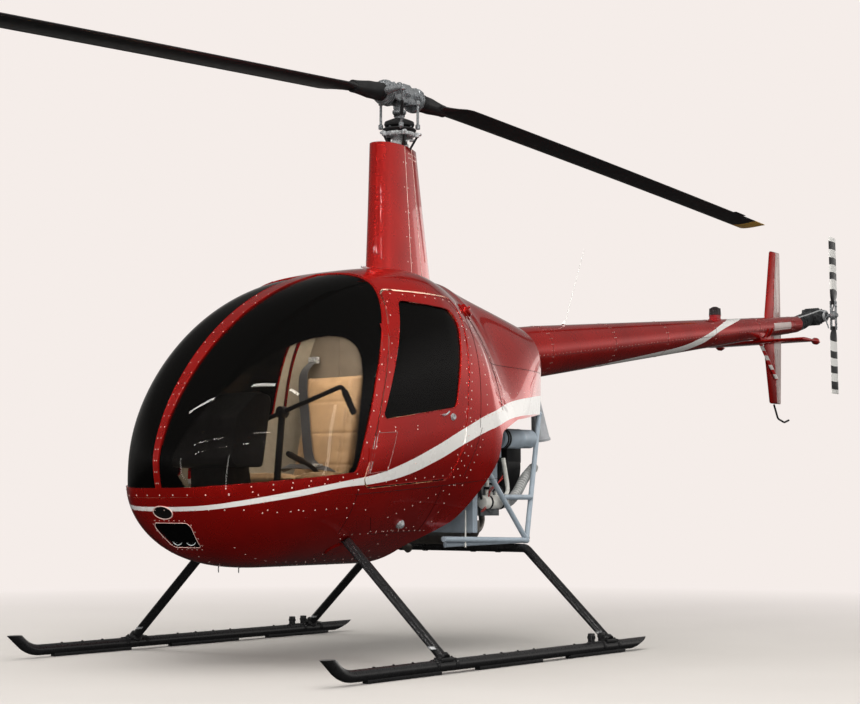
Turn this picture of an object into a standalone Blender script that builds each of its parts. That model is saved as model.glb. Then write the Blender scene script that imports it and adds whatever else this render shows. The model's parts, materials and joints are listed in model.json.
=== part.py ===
"""A light two-seat helicopter with a two-blade rotor, standing on its skids.

Lengths are in metres and +Z is up. The nose points to -Y and the aircraft's left side, its port
side, is +X. Shapes are given in the aircraft's own frame, whose origin is on the ground below the
main rotor's axis. The parent empty then moves everything back by REAR_SHIFT, so that the origin
of the finished part is on the ground at the middle of its length.
"""

import math

import bmesh
import bpy
from mathutils import Matrix, Vector

# Driving dimensions of the whole aircraft
REAR_SHIFT = -0.3066
MAIN_RADIUS = 3.835
MAIN_CHORD = 0.183
HUB_HEIGHT = 2.654
MAIN_TURN = -0.0465
TAIL_RADIUS = 0.533
TAIL_CHORD = 0.102
TAIL_HUB = Vector((0.170, 4.392, 1.952))
SKID_SPREAD = 0.923
SKID_RADIUS = 0.024
SKID_TOE_Z = 0.104
LEG_RADIUS = 0.0205
GAP = 0.0004
DOOR_GAP = 0.0075

# The cabin pod: an egg-shaped nose that runs back into a tapered cowling
NOSE_Y = -1.538
NOSE_Z = 0.851
ROOF_Z = 1.7625
BELLY_Z = 0.4065
HALF_WIDTH = 0.575
ROOF_LEVEL_Y = -0.20
BELLY_LEVEL_Y = -0.99
FULL_WIDTH_Y = -0.60
FIREWALL_Y = 0.10
COWL_END_Y = 0.763
SHOULDER_Y = -0.45
TENT_Y = 0.20
FAIRING_END_Y = 0.236
COWL_DROP = 0.165
COWL_TAPER = 0.282
SKIN = 0.022
EDGE_SLOPE = 0.60
GLASS_INSET = 0.006
GLASS = 0.005
POD_SIDES = 36

# The mast fairing's sections: front y, rear y, half width, z
FAIRING = (
    (-0.217, 0.236, 0.078, ROOF_Z + GAP),
    (-0.203, 0.180, 0.072, 2.080),
    (-0.192, 0.127, 0.066, 2.392),
)
FAIRING_WALL = 0.008

# The tail cone: its section's y, radius and the height of its middle
BOOM = ((0.660, 0.139, 1.4222), (1.100, 0.139, 1.480), (4.165, 0.0542, 1.8825))
BOOM_WALL = 0.005

# The engine bay: crank, fan and belt drive
FRAME_RADIUS = 0.0125
CRANK_Z = 0.720
SHAFT_Z = 1.290
FAN_Z = 0.865
FAN_RADIUS = 0.235
BELT_Y = (0.420, 0.470)
SHEAVE_LOW = 0.075
SHEAVE_HIGH = 0.110

# Window, door and panel outlines seen from the side: y, z, corner radius
WINDSHIELD = (
    (-1.640, 0.728, 0.0),
    (-0.918, 0.806, 0.030),
    (-0.805, 1.209, 0.0),
    (-0.737, 1.400, 0.0),
    (-0.640, 1.640, 0.0),
    (-0.600, 1.900, 0.0),
    (-1.640, 1.900, 0.0),
)
DOOR = (
    (-0.878, 0.745, 0.035),
    (-0.302, 0.790, 0.050),
    (-0.230, 0.940, 0.100),
    (-0.150, 1.605, 0.060),
    (-0.645, 1.605, 0.050),
)
DOOR_WINDOW = (
    (-0.782, 1.030, 0.020),
    (-0.285, 1.105, 0.035),
    (-0.195, 1.545, 0.080),
    (-0.585, 1.562, 0.040),
)
# Landing-light window seen from the front: x, z, corner radius
LAMP_WINDOW = (
    (-0.080, 0.500, 0.020),
    (0.080, 0.500, 0.020),
    (0.112, 0.598, 0.020),
    (-0.112, 0.598, 0.020),
)
TUB_SEAM = ((-1.700, 0.698), (-0.905, 0.716), (-0.300, 0.760), (0.300, 0.830))
BAY_EDGE = (
    (-0.360, 0.300, 0.0),
    (0.900, 0.300, 0.0),
    (0.900, 1.140, 0.0),
    (0.300, 1.075, 0.050),
    (0.080, 1.010, 0.040),
    (0.045, 0.890, 0.080),
    (-0.150, 0.600, 0.120),
    (-0.345, 0.490, 0.050),
)
# Seats and instrument console seen from the side: y, z, corner radius
CUSHION = (
    (-0.820, 0.724, 0.03),
    (-0.350, 0.712, 0.02),
    (-0.355, 0.800, 0.03),
    (-0.820, 0.815, 0.03),
)
BACKREST = (
    (-0.340, 0.722, 0.02),
    (-0.250, 0.712, 0.02),
    (-0.120, 1.300, 0.03),
    (-0.205, 1.320, 0.03),
)
PEDESTAL = (
    (-1.230, 0.4825, 0.0),
    (-0.985, 0.4825, 0.0),
    (-1.080, 0.720, 0.05),
    (-1.110, 0.900, 0.02),
    (-1.260, 0.900, 0.02),
)
PANEL_HEAD = (
    (-1.300, 0.830, 0.04),
    (-1.110, 0.830, 0.02),
    (-1.060, 1.130, 0.03),
    (-1.140, 1.150, 0.03),
    (-1.270, 1.040, 0.06),
)
# The cyclic stick's cross bar: the middle of the bar and its port end, out and up from there
STICK_Y = -0.800
STICK_Z = 1.080
STICK_ARM = 0.352
STICK_RISE = 0.100
BOW_HALF_WIDTH_LOW = 0.022
BOW_HALF_WIDTH_HIGH = 0.110

# Name of material: red, green, blue, roughness, metallic, alpha
MATERIALS = {
    "red_paint": (0.42, 0.012, 0.012, 0.22, 0.35, 1.0),
    "tinted_glass": (0.05, 0.05, 0.05, 0.05, 0.0, 0.45),
    "black_paint": (0.015, 0.015, 0.016, 0.38, 0.0, 1.0),
    "rotor_black": (0.02, 0.02, 0.022, 0.45, 0.0, 1.0),
    "frame_steel": (0.46, 0.52, 0.58, 0.40, 0.1, 1.0),
    "silver_metal": (0.55, 0.56, 0.57, 0.32, 1.0, 1.0),
    "engine_grey": (0.30, 0.31, 0.32, 0.50, 0.4, 1.0),
    "cream_duct": (0.72, 0.70, 0.62, 0.55, 0.0, 1.0),
    "tan_leather": (0.42, 0.27, 0.15, 0.55, 0.0, 1.0),
    "black_plastic": (0.02, 0.02, 0.02, 0.55, 0.0, 1.0),
    "belt_rubber": (0.02, 0.02, 0.02, 0.70, 0.0, 1.0),
    "lamp_glass": (0.85, 0.88, 0.90, 0.08, 0.0, 1.0),
    "beacon_red": (0.50, 0.03, 0.03, 0.15, 0.0, 1.0),
}


def clear_scene():
    for old in list(bpy.data.objects):
        bpy.data.objects.remove(old, do_unlink=True)


def material(name):
    found = bpy.data.materials.get(name)
    if found:
        return found
    red, green, blue, roughness, metallic, alpha = MATERIALS[name]
    made = bpy.data.materials.new(name)
    made.use_nodes = True
    shader = made.node_tree.nodes["Principled BSDF"]
    shader.inputs["Base Color"].default_value = (red, green, blue, 1.0)
    shader.inputs["Roughness"].default_value = roughness
    shader.inputs["Metallic"].default_value = metallic
    shader.inputs["Alpha"].default_value = alpha
    return made


def new_object(name, mesh):
    made = bpy.data.objects.new(name, mesh)
    bpy.context.scene.collection.objects.link(made)
    return made


def from_bmesh(name, shape):
    bmesh.ops.recalc_face_normals(shape, faces=shape.faces)
    mesh = bpy.data.meshes.new(name)
    shape.to_mesh(mesh)
    shape.free()
    return new_object(name, mesh)


def loft(name, rings):
    """A closed solid through rings of points, each ring with the same count, capped at both ends."""
    shape = bmesh.new()
    rows = [[shape.verts.new(point) for point in ring] for ring in rings]
    count = len(rows[0])
    for low, high in zip(rows, rows[1:]):
        for i in range(count):
            j = (i + 1) % count
            shape.faces.new((low[i], low[j], high[j], high[i]))
    shape.faces.new(rows[0])
    shape.faces.new(rows[-1])
    return from_bmesh(name, shape)


def rounded(corners, grow=0.0, step=math.radians(22.5)):
    """The outline (y, z, radius) as points, with its corners rounded and its sides moved out by grow."""
    count = len(corners)
    places = [Vector((y, z)) for y, z, _ in corners]
    turn = sum(a.x * b.y - a.y * b.x for a, b in zip(places, places[1:] + places[:1]))
    side = 1.0 if turn > 0 else -1.0
    normals = []
    for i in range(count):
        along = (places[(i + 1) % count] - places[i]).normalized()
        normals.append(Vector((along.y, -along.x)) * side)
    points = []
    for i, (_, _, radius) in enumerate(corners):
        before, after = normals[i - 1], normals[i]
        half = before.angle(after) / 2
        middle = (before + after).normalized()
        corner = places[i] + middle * (grow / math.cos(half))
        cross = (before.x * after.y - before.y * after.x) * side
        bend = max(radius + grow, 0.0) if cross > 0 else max(radius - grow, 0.0)
        if radius == 0.0 or bend < 1e-4 or half < 0.02:
            points.append(corner)
            continue
        inward = -1.0 if cross > 0 else 1.0
        centre = corner + middle * (inward * bend / math.cos(half))
        pieces = max(1, math.ceil(2 * half / step))
        for k in range(pieces + 1):
            blend = (k / pieces) * 2 * half - half
            ray = Matrix.Rotation(blend * (1 if cross * side > 0 else -1), 2) @ middle
            points.append(centre - ray * (inward * bend))
    return points


def prism(name, outline, inner, outer):
    """The side outline drawn out along X, from inner to outer, which are numbers or functions of z."""
    near = inner if callable(inner) else lambda z: inner
    far = outer if callable(outer) else lambda z: outer
    rings = [
        [Vector((near(p[1]), p[0], p[1])) for p in outline],
        [Vector((far(p[1]), p[0], p[1])) for p in outline],
    ]
    return loft(name, rings)


def frame_along(direction):
    """Two directions square to this one, chosen so that the first is as level as it can be."""
    direction = direction.normalized()
    up = Vector((0, 0, 1)) if abs(direction.z) < 0.95 else Vector((0, 1, 0))
    side = direction.cross(up).normalized()
    return side, side.cross(direction).normalized()


def tube(name, path, radii, sides=10, flatten=1.0):
    """A round bar along a path of points. radii is one number or one for each point."""
    path = [Vector(p) for p in path]
    if not isinstance(radii, (list, tuple)):
        radii = [radii] * len(path)
    side, up = frame_along(path[1] - path[0])
    rings = []
    for i, (point, radius) in enumerate(zip(path, radii)):
        back = (path[i] - path[i - 1]).normalized() if i else (path[1] - path[0]).normalized()
        ahead = (path[i + 1] - path[i]).normalized() if i + 1 < len(path) else back
        along = (back + ahead).normalized()
        side = (side - along * side.dot(along)).normalized()
        up = side.cross(along).normalized()
        stretch = 1.0 / max(back.dot(along), 0.5)
        bend = (ahead - back)
        bend = bend.normalized() if bend.length > 1e-6 else Vector((0, 0, 0))
        ring = []
        for k in range(sides):
            angle = 2 * math.pi * (k + 0.5) / sides
            spot = side * (math.cos(angle) * radius * flatten) + up * (math.sin(angle) * radius)
            spot += bend * (spot.dot(bend) * (stretch - 1.0))
            ring.append(point + spot)
        rings.append(ring)
    return loft(name, rings)


def arc_path(path, radius, step=math.radians(22.5)):
    """The path with its inner corners turned into arcs."""
    path = [Vector(p) for p in path]
    points = [path[0]]
    for before, corner, after in zip(path, path[1:], path[2:]):
        back = (before - corner).normalized()
        ahead = (after - corner).normalized()
        half = back.angle(ahead) / 2
        cut = radius / math.tan(half)
        middle = (back + ahead).normalized()
        centre = corner + middle * (radius / math.sin(half))
        start = corner + back * cut - centre
        turn = math.pi - 2 * half
        pieces = max(1, math.ceil(turn / step))
        axis = start.cross(corner + ahead * cut - centre).normalized()
        for k in range(pieces + 1):
            points.append(centre + Matrix.Rotation(turn * k / pieces, 3, axis) @ start)
    points.append(path[-1])
    return points


def box(name, low, high):
    outline = ((low[1], low[2]), (high[1], low[2]), (high[1], high[2]), (low[1], high[2]))
    return prism(name, outline, low[0], high[0])


def combine(target, others, operation):
    """Applies a Boolean of each of the others to the target, and removes them."""
    for other in others:
        change = target.modifiers.new("combine", "BOOLEAN")
        change.object = other
        change.operation = operation
        change.solver = "EXACT"
    bpy.context.view_layer.update()
    graph = bpy.context.evaluated_depsgraph_get()
    result = bpy.data.meshes.new_from_object(target.evaluated_get(graph))
    target.modifiers.clear()
    target.data = result
    for other in others:
        bpy.data.objects.remove(other, do_unlink=True)
    return target


def union(name, pieces):
    made = combine(pieces[0], pieces[1:], "UNION")
    made.name = name
    return made


def cut(target, *others):
    return combine(target, others, "DIFFERENCE")


def keep(target, *others):
    return combine(target, others, "INTERSECT")


def copy_of(source, name):
    return new_object(name, source.data.copy())


def finish(piece, name, body, material_name, smooth=math.radians(35)):
    """Names a piece, gives it its material and hangs it on its body's empty."""
    mesh = piece.data
    shape = bmesh.new()
    shape.from_mesh(mesh)
    bmesh.ops.remove_doubles(shape, verts=shape.verts, dist=0.00005)
    bmesh.ops.dissolve_degenerate(shape, edges=shape.edges, dist=0.00003)
    flat = [face for face in shape.faces if len(face.verts) > 4]
    bmesh.ops.triangulate(shape, faces=flat)
    shape.to_mesh(mesh)
    shape.free()
    mesh.shade_smooth()
    mesh.set_sharp_from_angle(angle=smooth)
    mesh.materials.clear()
    mesh.materials.append(material(material_name))
    piece.name = name
    mesh.name = name
    offset = body["aircraft_place"]
    mesh.transform(Matrix.Translation(-Vector(offset)))
    piece.parent = body
    return piece


def empty(name, place, parent):
    """An empty at a place in the aircraft's frame. It remembers that place for its children."""
    made = bpy.data.objects.new(name, None)
    made.empty_display_size = 0.2
    bpy.context.scene.collection.objects.link(made)
    made["aircraft_place"] = tuple(place)
    made.parent = parent
    if parent:
        made.location = Vector(place) - Vector(parent["aircraft_place"])
    return made


def ease(y, start, end):
    """Rises smoothly from 0 at start to 1 at end."""
    part = min(max((y - start) / (end - start), 0.0), 1.0)
    return part * part * (3 - 2 * part)


def quarter(part, power, root):
    """A rounded quarter: 1 at part 0 and 0 at part 1."""
    return max(1.0 - part**power, 0.0) ** (1.0 / root)


def pod_profile(y, inset):
    """Roof, belly, half width and widest height of the pod at y, with its section's two powers."""
    nose = NOSE_Y + inset
    level = (ROOF_LEVEL_Y, BELLY_LEVEL_Y, FULL_WIDTH_Y)
    part = [min(max((end - y) / (end - nose), 0.0), 1.0) for end in level]
    aft = max(y - FAIRING_END_Y, 0.0) / (COWL_END_Y - FAIRING_END_Y)
    narrow = max(y, 0.0) / COWL_END_Y
    back = min(max((y - NOSE_Y) / (-0.3 - NOSE_Y), 0.0), 1.0)
    roof = NOSE_Z + (ROOF_Z - inset - NOSE_Z) * quarter(part[0], 2.13, 1.52) - COWL_DROP * aft**0.93
    belly = NOSE_Z - (NOSE_Z - BELLY_Z - inset) * quarter(part[1], 2.62, 1.84)
    width = (HALF_WIDTH - inset) * quarter(part[2], 2.06, 2.32) - COWL_TAPER * narrow**1.3
    tent = ease(y, SHOULDER_Y, TENT_Y)
    widest = 0.76 + 0.29 * back - 0.08 * tent + 0.41 * aft**1.3
    depth = roof - belly
    widest = min(max(widest, belly + 0.3 * depth), roof - 0.2 * depth)
    top_power = 2.3 + 1.3 * back - 1.95 * tent + 0.55 * ease(y, TENT_Y, COWL_END_Y)
    return roof, belly, width, widest, top_power, 2.45 - 0.3 * back


def skin_x(y, z):
    """How far out the pod's outer skin is at a place on its side."""
    roof, belly, width, widest, top_power, low_power = pod_profile(y, 0.0)
    if z > widest:
        return width * quarter(min((z - widest) / (roof - widest), 0.995), top_power, top_power)
    return width * quarter(min((widest - z) / (widest - belly), 0.995), low_power, low_power)


def pod_ring(y, inset):
    roof, belly, width, widest, top_power, low_power = pod_profile(y, inset)
    ring = []
    for k in range(POD_SIDES):
        angle = 2 * math.pi * (k + 0.5) / POD_SIDES
        across, rise = math.cos(angle), math.sin(angle)
        power = top_power if rise > 0 else low_power
        height = (roof - widest) if rise > 0 else (belly - widest)
        x = width * math.copysign(abs(across) ** (2 / power), across)
        ring.append(Vector((x, y, widest + height * abs(rise) ** (2 / power))))
    return ring


def pod_solid(name, inset, end=COWL_END_Y):
    """The pod as a solid, inset from the outer skin. Its rings crowd together towards the nose."""
    nose = NOSE_Y + inset
    nose_rings = 15
    shares = [1 - math.cos(math.pi / 2 * (k + 0.25) / nose_rings) for k in range(nose_rings)]
    places = [nose + (ROOF_LEVEL_Y - nose) * share for share in shares]
    places += [-0.10, 0.0, 0.12, 0.24, 0.36, 0.48, 0.58, 0.68, end]
    return loft(name, [pod_ring(y, inset) for y in places])


def pod_shell(name, outside, thickness):
    shell = pod_solid(name, outside)
    return cut(shell, pod_solid("inside", outside + thickness, COWL_END_Y + 0.05))


def bow_edge(z):
    """Half width of the bow between the two windshields, at a height."""
    rise = min(max((z - 0.85) / 0.80, 0.0), 1.0)
    return BOW_HALF_WIDTH_LOW + (BOW_HALF_WIDTH_HIGH - BOW_HALF_WIDTH_LOW) * rise


def windshield_block(name, grow, side):
    outline = rounded(WINDSHIELD, grow)
    return prism(name, outline, lambda z: side * (bow_edge(z) - grow), side * 1.0)


def door_block(name, corners, grow, side):
    return prism(name, rounded(corners, grow), side * 0.2, side * 1.0)


def divided(outline, parts=6):
    """The outline with each of its sides divided into equal parts."""
    points = []
    for start, end in zip(outline, outline[1:] + outline[:1]):
        points += [start.lerp(end, k / parts) for k in range(parts)]
    return points


def door_wedge(name, side, reach=0.050):
    """The door's own outline, narrower on the inside, so that the door swings clear of its frame."""
    skin = [skin_x(*place) for place in divided(rounded(DOOR))]
    narrow = divided(rounded(DOOR, -reach * EDGE_SLOPE))
    wide = divided(rounded(DOOR, reach * EDGE_SLOPE))
    rows = (
        (narrow, [0.2] * len(skin)),
        (narrow, [x - reach for x in skin]),
        (wide, [x + reach for x in skin]),
        (wide, [1.0] * len(skin)),
    )
    rings = [[Vector((side * x, y, z)) for (y, z), x in zip(outline, out)] for outline, out in rows]
    return loft(name, rings)


def lamp_block(name, grow):
    """The landing-light window drawn out along Y, through the nose only."""
    outline = rounded(LAMP_WINDOW, grow)
    return loft(name, [[Vector((x, y, z)) for x, z in outline] for y in (-1.70, -1.30)])


def build_cabin(root, doors):
    shell = pod_shell("shell", 0.0, SKIN)
    seam = [(y, z) for y, z in TUB_SEAM]
    above = [(y, z + GAP) for y, z in seam]
    below = seam + [(0.300, 0.200), (-1.700, 0.200)]
    bay = rounded(BAY_EDGE)

    tub = keep(copy_of(shell, "tub"), prism("below", below, -1, 1))
    cut(tub, prism("bay", bay, -1, 1), lamp_block("lamps", 0.0))
    finish(tub, "cabin_tub", root, "red_paint")

    above += [(0.300, 1.900), (-1.700, 1.900)]
    front = ((-1.700, 0.200), (FIREWALL_Y, 0.200), (FIREWALL_Y, 1.950), (-1.700, 1.950))
    upper = keep(copy_of(shell, "upper"), prism("above", above, -1, 1), prism("front", front, -1.1, 1.1))
    cut(upper, prism("bay", bay, -1, 1))
    for side in (1, -1):
        cut(upper, windshield_block("pane", 0.0, side), door_block("opening", DOOR, DOOR_GAP, side))
    finish(upper, "cabin_frame", root, "red_paint")

    cowl_side = ((FIREWALL_Y + GAP, 0.2), (0.9, 0.2), (0.9, 1.9), (FIREWALL_Y + GAP, 1.9))
    cowl = keep(copy_of(shell, "cowl"), prism("aft", cowl_side, -1, 1))
    cut(cowl, prism("bay", bay, -1, 1))
    finish(cowl, "rear_cowling", root, "red_paint")

    glass = pod_shell("glass", GLASS_INSET, GLASS)
    lens = keep(pod_shell("lens", 0.001, 0.003), lamp_block("shape", -GAP))
    finish(lens, "lamp_lens", root, "lamp_glass")
    for side, word in ((1, "left"), (-1, "right")):
        pane = keep(copy_of(glass, "pane"), windshield_block("shape", -GAP, side))
        finish(pane, "windshield_" + word, root, "tinted_glass")
        door = keep(copy_of(shell, "door"), door_wedge("shape", side))
        cut(door, door_block("window", DOOR_WINDOW, 0.0, side))
        finish(door, "door_" + word, doors[word], "red_paint")
        light = keep(copy_of(glass, "light"), door_block("shape", DOOR_WINDOW, -GAP, side))
        finish(light, "door_window_" + word, doors[word], "tinted_glass")
    for used in (shell, glass):
        bpy.data.objects.remove(used, do_unlink=True)


def inside_pod(shape, clearance=0.002):
    return keep(shape, pod_solid("inside", SKIN + clearance, COWL_END_Y + 0.02))


def build_interior(root):
    aft = ((-0.352, 0.436), (-0.165, 0.590), (-0.075, 0.800), (-0.075, 1.760))
    fore = [(y - 0.011, z + 0.007) for y, z in aft]
    wall = inside_pod(prism("wall", list(aft) + fore[::-1], -1, 1))
    finish(wall, "firewall", root, "black_plastic")

    floor_side = ((-1.300, 0.470), (-0.372, 0.470), (-0.372, 0.482), (-1.300, 0.482))
    finish(inside_pod(prism("floor", floor_side, -1, 1)), "cabin_floor", root, "black_plastic")

    base_side = (
        (-0.820, 0.4825),
        (-0.370, 0.4825),
        (-0.205, 0.590),
        (-0.160, 0.700),
        (-0.800, 0.720),
    )
    base = inside_pod(prism("base", base_side, -0.50, 0.50))
    locker = ((-0.790, 0.500), (-0.100, 0.500), (-0.100, 0.680), (-0.790, 0.695))
    for side in (1, -1):
        cut(base, prism("locker", locker, side * 0.020, side * 0.440))
    finish(base, "seat_base", root, "tan_leather")

    for side, word in ((1, "left"), (-1, "right")):
        near, far = side * 0.035, side * 0.445
        finish(prism("seat", rounded(CUSHION), near, far), "seat_cushion_" + word, root, "tan_leather")
        finish(prism("back", rounded(BACKREST), near, far), "seat_back_" + word, root, "tan_leather")

    foot = prism("foot", rounded(PEDESTAL), -0.10, 0.10)
    head = prism("head", rounded(PANEL_HEAD), -0.19, 0.19)
    console = union("console", [foot, head])
    finish(console, "instrument_console", root, "black_plastic")

    post = arc_path(((0, -0.845, 0.4825), (0, -0.845, 0.640), (0, STICK_Y, STICK_Z + 0.004)), 0.05)
    arm = Vector((STICK_ARM, 0, STICK_RISE))
    middle = Vector((0, STICK_Y, STICK_Z))
    hang = Vector((0, 0.055, -0.118))
    out = Vector((0.022, 0, 0))
    bar = arc_path((middle - arm + hang - out, middle - arm, middle + arm, middle + arm + hang + out), 0.025)
    stick = union("stick", [tube("post", post, 0.016, 8), tube("bar", bar, 0.012, 8)])
    finish(stick, "cyclic_stick", root, "black_plastic")

    for word, place in (("left", 0.468), ("right", 0.0)):
        lever = arc_path(((place, -0.430, 0.735), (place, -0.620, 0.850), (place, -0.765, 0.900)), 0.2)
        radii = [0.010] * (len(lever) - 2) + [0.014] * 2
        finish(tube("lever", lever, radii, 8), "collective_" + word, root, "black_plastic")

    for side, word in ((1, "left"), (-1, "right")):
        low, high = sorted((side * 0.125, side * 0.295))
        pedals = [tube("shaft", ((low, -1.110, 0.530), (high, -1.110, 0.530)), 0.010, 8)]
        for x in (side * 0.165, side * 0.255):
            pedals.append(tube("arm", ((x, -1.110, 0.530), (x, -1.135, 0.640)), 0.008, 6))
            pedals.append(box("pad", (x - 0.038, -1.150, 0.610), (x + 0.038, -1.125, 0.660)))
        middle = side * 0.210
        pedals.append(box("foot", (middle - 0.02, -1.125, 0.4825), (middle + 0.02, -1.095, 0.535)))
        finish(union("pedals", pedals), "pedals_" + word, root, "black_plastic")


def fairing_ring(front, rear, half_width, z, count=24):
    """A section of the mast fairing: blunt in front, thin behind."""
    ring = []
    for k in range(count):
        angle = 2 * math.pi * k / count
        along = (1 - math.cos(angle)) / 2
        across = half_width * math.sin(math.pi * along**0.62) ** 0.75 if 0 < along < 1 else 0.0
        ring.append(Vector((math.copysign(across, math.sin(angle)), front + (rear - front) * along, z)))
    return ring


def build_mast(root):
    fairing = loft("fairing", [fairing_ring(*section) for section in FAIRING])
    wall = FAIRING_WALL
    inner = [(front + wall, rear - 3 * wall, half - wall, z) for front, rear, half, z in FAIRING]
    inner = [inner[0][:3] + (ROOF_Z - 0.01,)] + inner[1:-1] + [inner[-1][:3] + (FAIRING[-1][3] + 0.01,)]
    cut(fairing, loft("hollow", [fairing_ring(*section) for section in inner]))
    finish(fairing, "mast_fairing", root, "red_paint")
    mast = tube("mast", ((0, 0, ROOF_Z + 0.001), (0, 0, 2.461)), 0.031, 16)
    plate = tube("plate", ((0, 0, 2.450), (0, 0, 2.468)), 0.072, 20)
    arms = []
    for angle in (0.6, 2.5, 4.4):
        out = Vector((math.cos(angle), math.sin(angle), 0))
        level = Vector((0, 0, 2.4585))
        arms.append(tube("arm", (out * 0.102 + level, out * 0.050 + level), 0.008, 8))
    finish(union("lower", [mast, plate] + arms), "swashplate_fixed", root, "silver_metal")


def blade_point(reach, chordwise, lift, sign):
    """A point of the main rotor: reach out from the axis, to the trailing side, and up."""
    out = Vector((math.sin(MAIN_TURN), math.cos(MAIN_TURN), 0)) * sign
    port = Vector((math.cos(MAIN_TURN), -math.sin(MAIN_TURN), 0)) * sign
    droop = -0.04934 * reach - 0.25 * 0.03228 * reach**2 / MAIN_RADIUS + sign * 0.02292 * reach
    return out * reach + port * chordwise + Vector((0, 0, HUB_HEIGHT + droop + lift))


def airfoil(chord, thickness, count=7):
    """Points (back from the leading edge, up) round a symmetrical airfoil, from its tail over its nose."""
    upper = []
    for k in range(count + 1):
        s = (1 - math.cos(math.pi * k / count)) / 2
        bulge = 0.2969 * math.sqrt(s) - 0.126 * s - 0.3516 * s**2 + 0.2843 * s**3 - 0.1015 * s**4
        upper.append((s * chord, max(5 * thickness * bulge, 0.012 if 0 < k else 0.0) * chord))
    lower = [(s, -t) for s, t in upper[1:]]
    return upper[::-1] + lower


def rotor_blade(sign):
    """One main rotor blade: its airfoil's leading quarter is ahead of the line out from the hub.

    A section is its reach, its chord and its thickness as a share of the chord.
    """
    sections = [(0.30, 0.07, 0.50), (0.42, MAIN_CHORD, 0.16)]
    sections += [(reach, MAIN_CHORD, 0.12) for reach in (0.60, 1.60, 2.60, MAIN_RADIUS)]
    rings = []
    for reach, chord, thick in sections:
        ring = [blade_point(reach, back - 0.25 * chord, rise, sign) for back, rise in airfoil(chord, thick)]
        rings.append(ring)
    blade = loft("blade", rings)
    sleeve = [blade_point(reach, 0, 0, sign) for reach in (0.125, 0.20, 0.335)]
    grip = tube("grip", sleeve, [0.036, 0.040, 0.030], 12)
    horn = tube("horn", (blade_point(0.17, 0, 0.0, sign), blade_point(0.16, -0.145, 0.0, sign)), 0.013, 8)
    return union("blade", [blade, grip, horn])


def build_rotor(body):
    shaft = tube("shaft", ((0, 0, 2.474), (0, 0, 2.640)), 0.022, 16)
    collar = tube("collar", ((0, 0, 2.474), (0, 0, 2.490)), 0.068, 20)
    boot = tube("boot", ((0, 0, 2.489), (0, 0, 2.535)), [0.048, 0.040], 16)
    block = [shaft, collar, boot]
    yoke = [blade_point(0.088, 0, 0, -1), blade_point(0.088, 0, 0, 1)]
    block.append(tube("yoke", yoke, 0.030, 12, flatten=1.35))
    out = Vector((math.cos(MAIN_TURN), -math.sin(MAIN_TURN), 0))
    middle = Vector((0, 0, HUB_HEIGHT))
    block.append(tube("bolt", (middle - out * 0.075, middle + out * 0.075), 0.016, 12))
    block.append(tube("cap", ((0, 0, 2.63), (0, 0, 2.72)), [0.030, 0.018], 12))
    finish(union("hub", block), "rotor_hub", body, "silver_metal")
    for sign, word in ((1, "a"), (-1, "b")):
        finish(rotor_blade(sign), "rotor_blade_" + word, body, "rotor_black")
        top = blade_point(0.16, -0.140, -0.016, sign)
        foot = Vector((top.x * 0.62, top.y * 0.62, 2.481))
        link = tube("link", (foot, top), 0.006, 8)
        arm = tube("arm", (Vector((foot.x * 0.58, foot.y * 0.58, foot.z)), foot), 0.008, 8)
        finish(union("link", [link, arm]), "pitch_link_" + word, body, "silver_metal")


def build_tail_rotor(body):
    across, up = Vector((1, 0, 0)), Vector((0, 0, 1))
    hub = [tube("shaft", (TAIL_HUB - across * 0.042, TAIL_HUB + across * 0.030), 0.014, 12)]
    hub.append(tube("fork", (TAIL_HUB - up * 0.085, TAIL_HUB + up * 0.085), 0.018, 10))
    hub.append(tube("boss", (TAIL_HUB - across * 0.016, TAIL_HUB + across * 0.018), 0.030, 14))
    for sign in (1, -1):
        rings = []
        for reach, chord, thick in ((0.07, 0.040, 0.60), (0.13, TAIL_CHORD, 0.14), (TAIL_RADIUS, TAIL_CHORD, 0.11)):
            tilt = 0.021 * reach
            centre = TAIL_HUB + Vector((0, -tilt * sign, reach * sign))
            foil = airfoil(chord, thick, 6)
            rings.append([centre + Vector((rise, sign * (back - 0.4 * chord), 0)) for back, rise in foil])
        hub.append(loft("blade", rings))
    finish(union("tail_rotor", hub), "tail_rotor_blades", body, "rotor_black")


def tail_cone(grow=0.0, count=20):
    """The tail cone: its middle climbs and its radius shrinks towards the tail."""
    rings = []
    for y, radius, height in BOOM:
        angles = [2 * math.pi * (k + 0.5) / count for k in range(count)]
        reach = radius + grow
        rings.append([Vector((reach * math.cos(a), y, height + reach * math.sin(a))) for a in angles])
    return loft("boom", rings)


def fin(name, root_z, root_span, tip_z, tip_span, x, thickness):
    """A thin vertical fin between two heights. Each span is its front and rear edge."""
    rings = []
    for z, (front, rear) in ((root_z, root_span), (tip_z, tip_span)):
        chord = rear - front
        rings.append([Vector((x + rise, front + back, z)) for back, rise in airfoil(chord, thickness / chord, 6)])
    return loft(name, rings)


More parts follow.
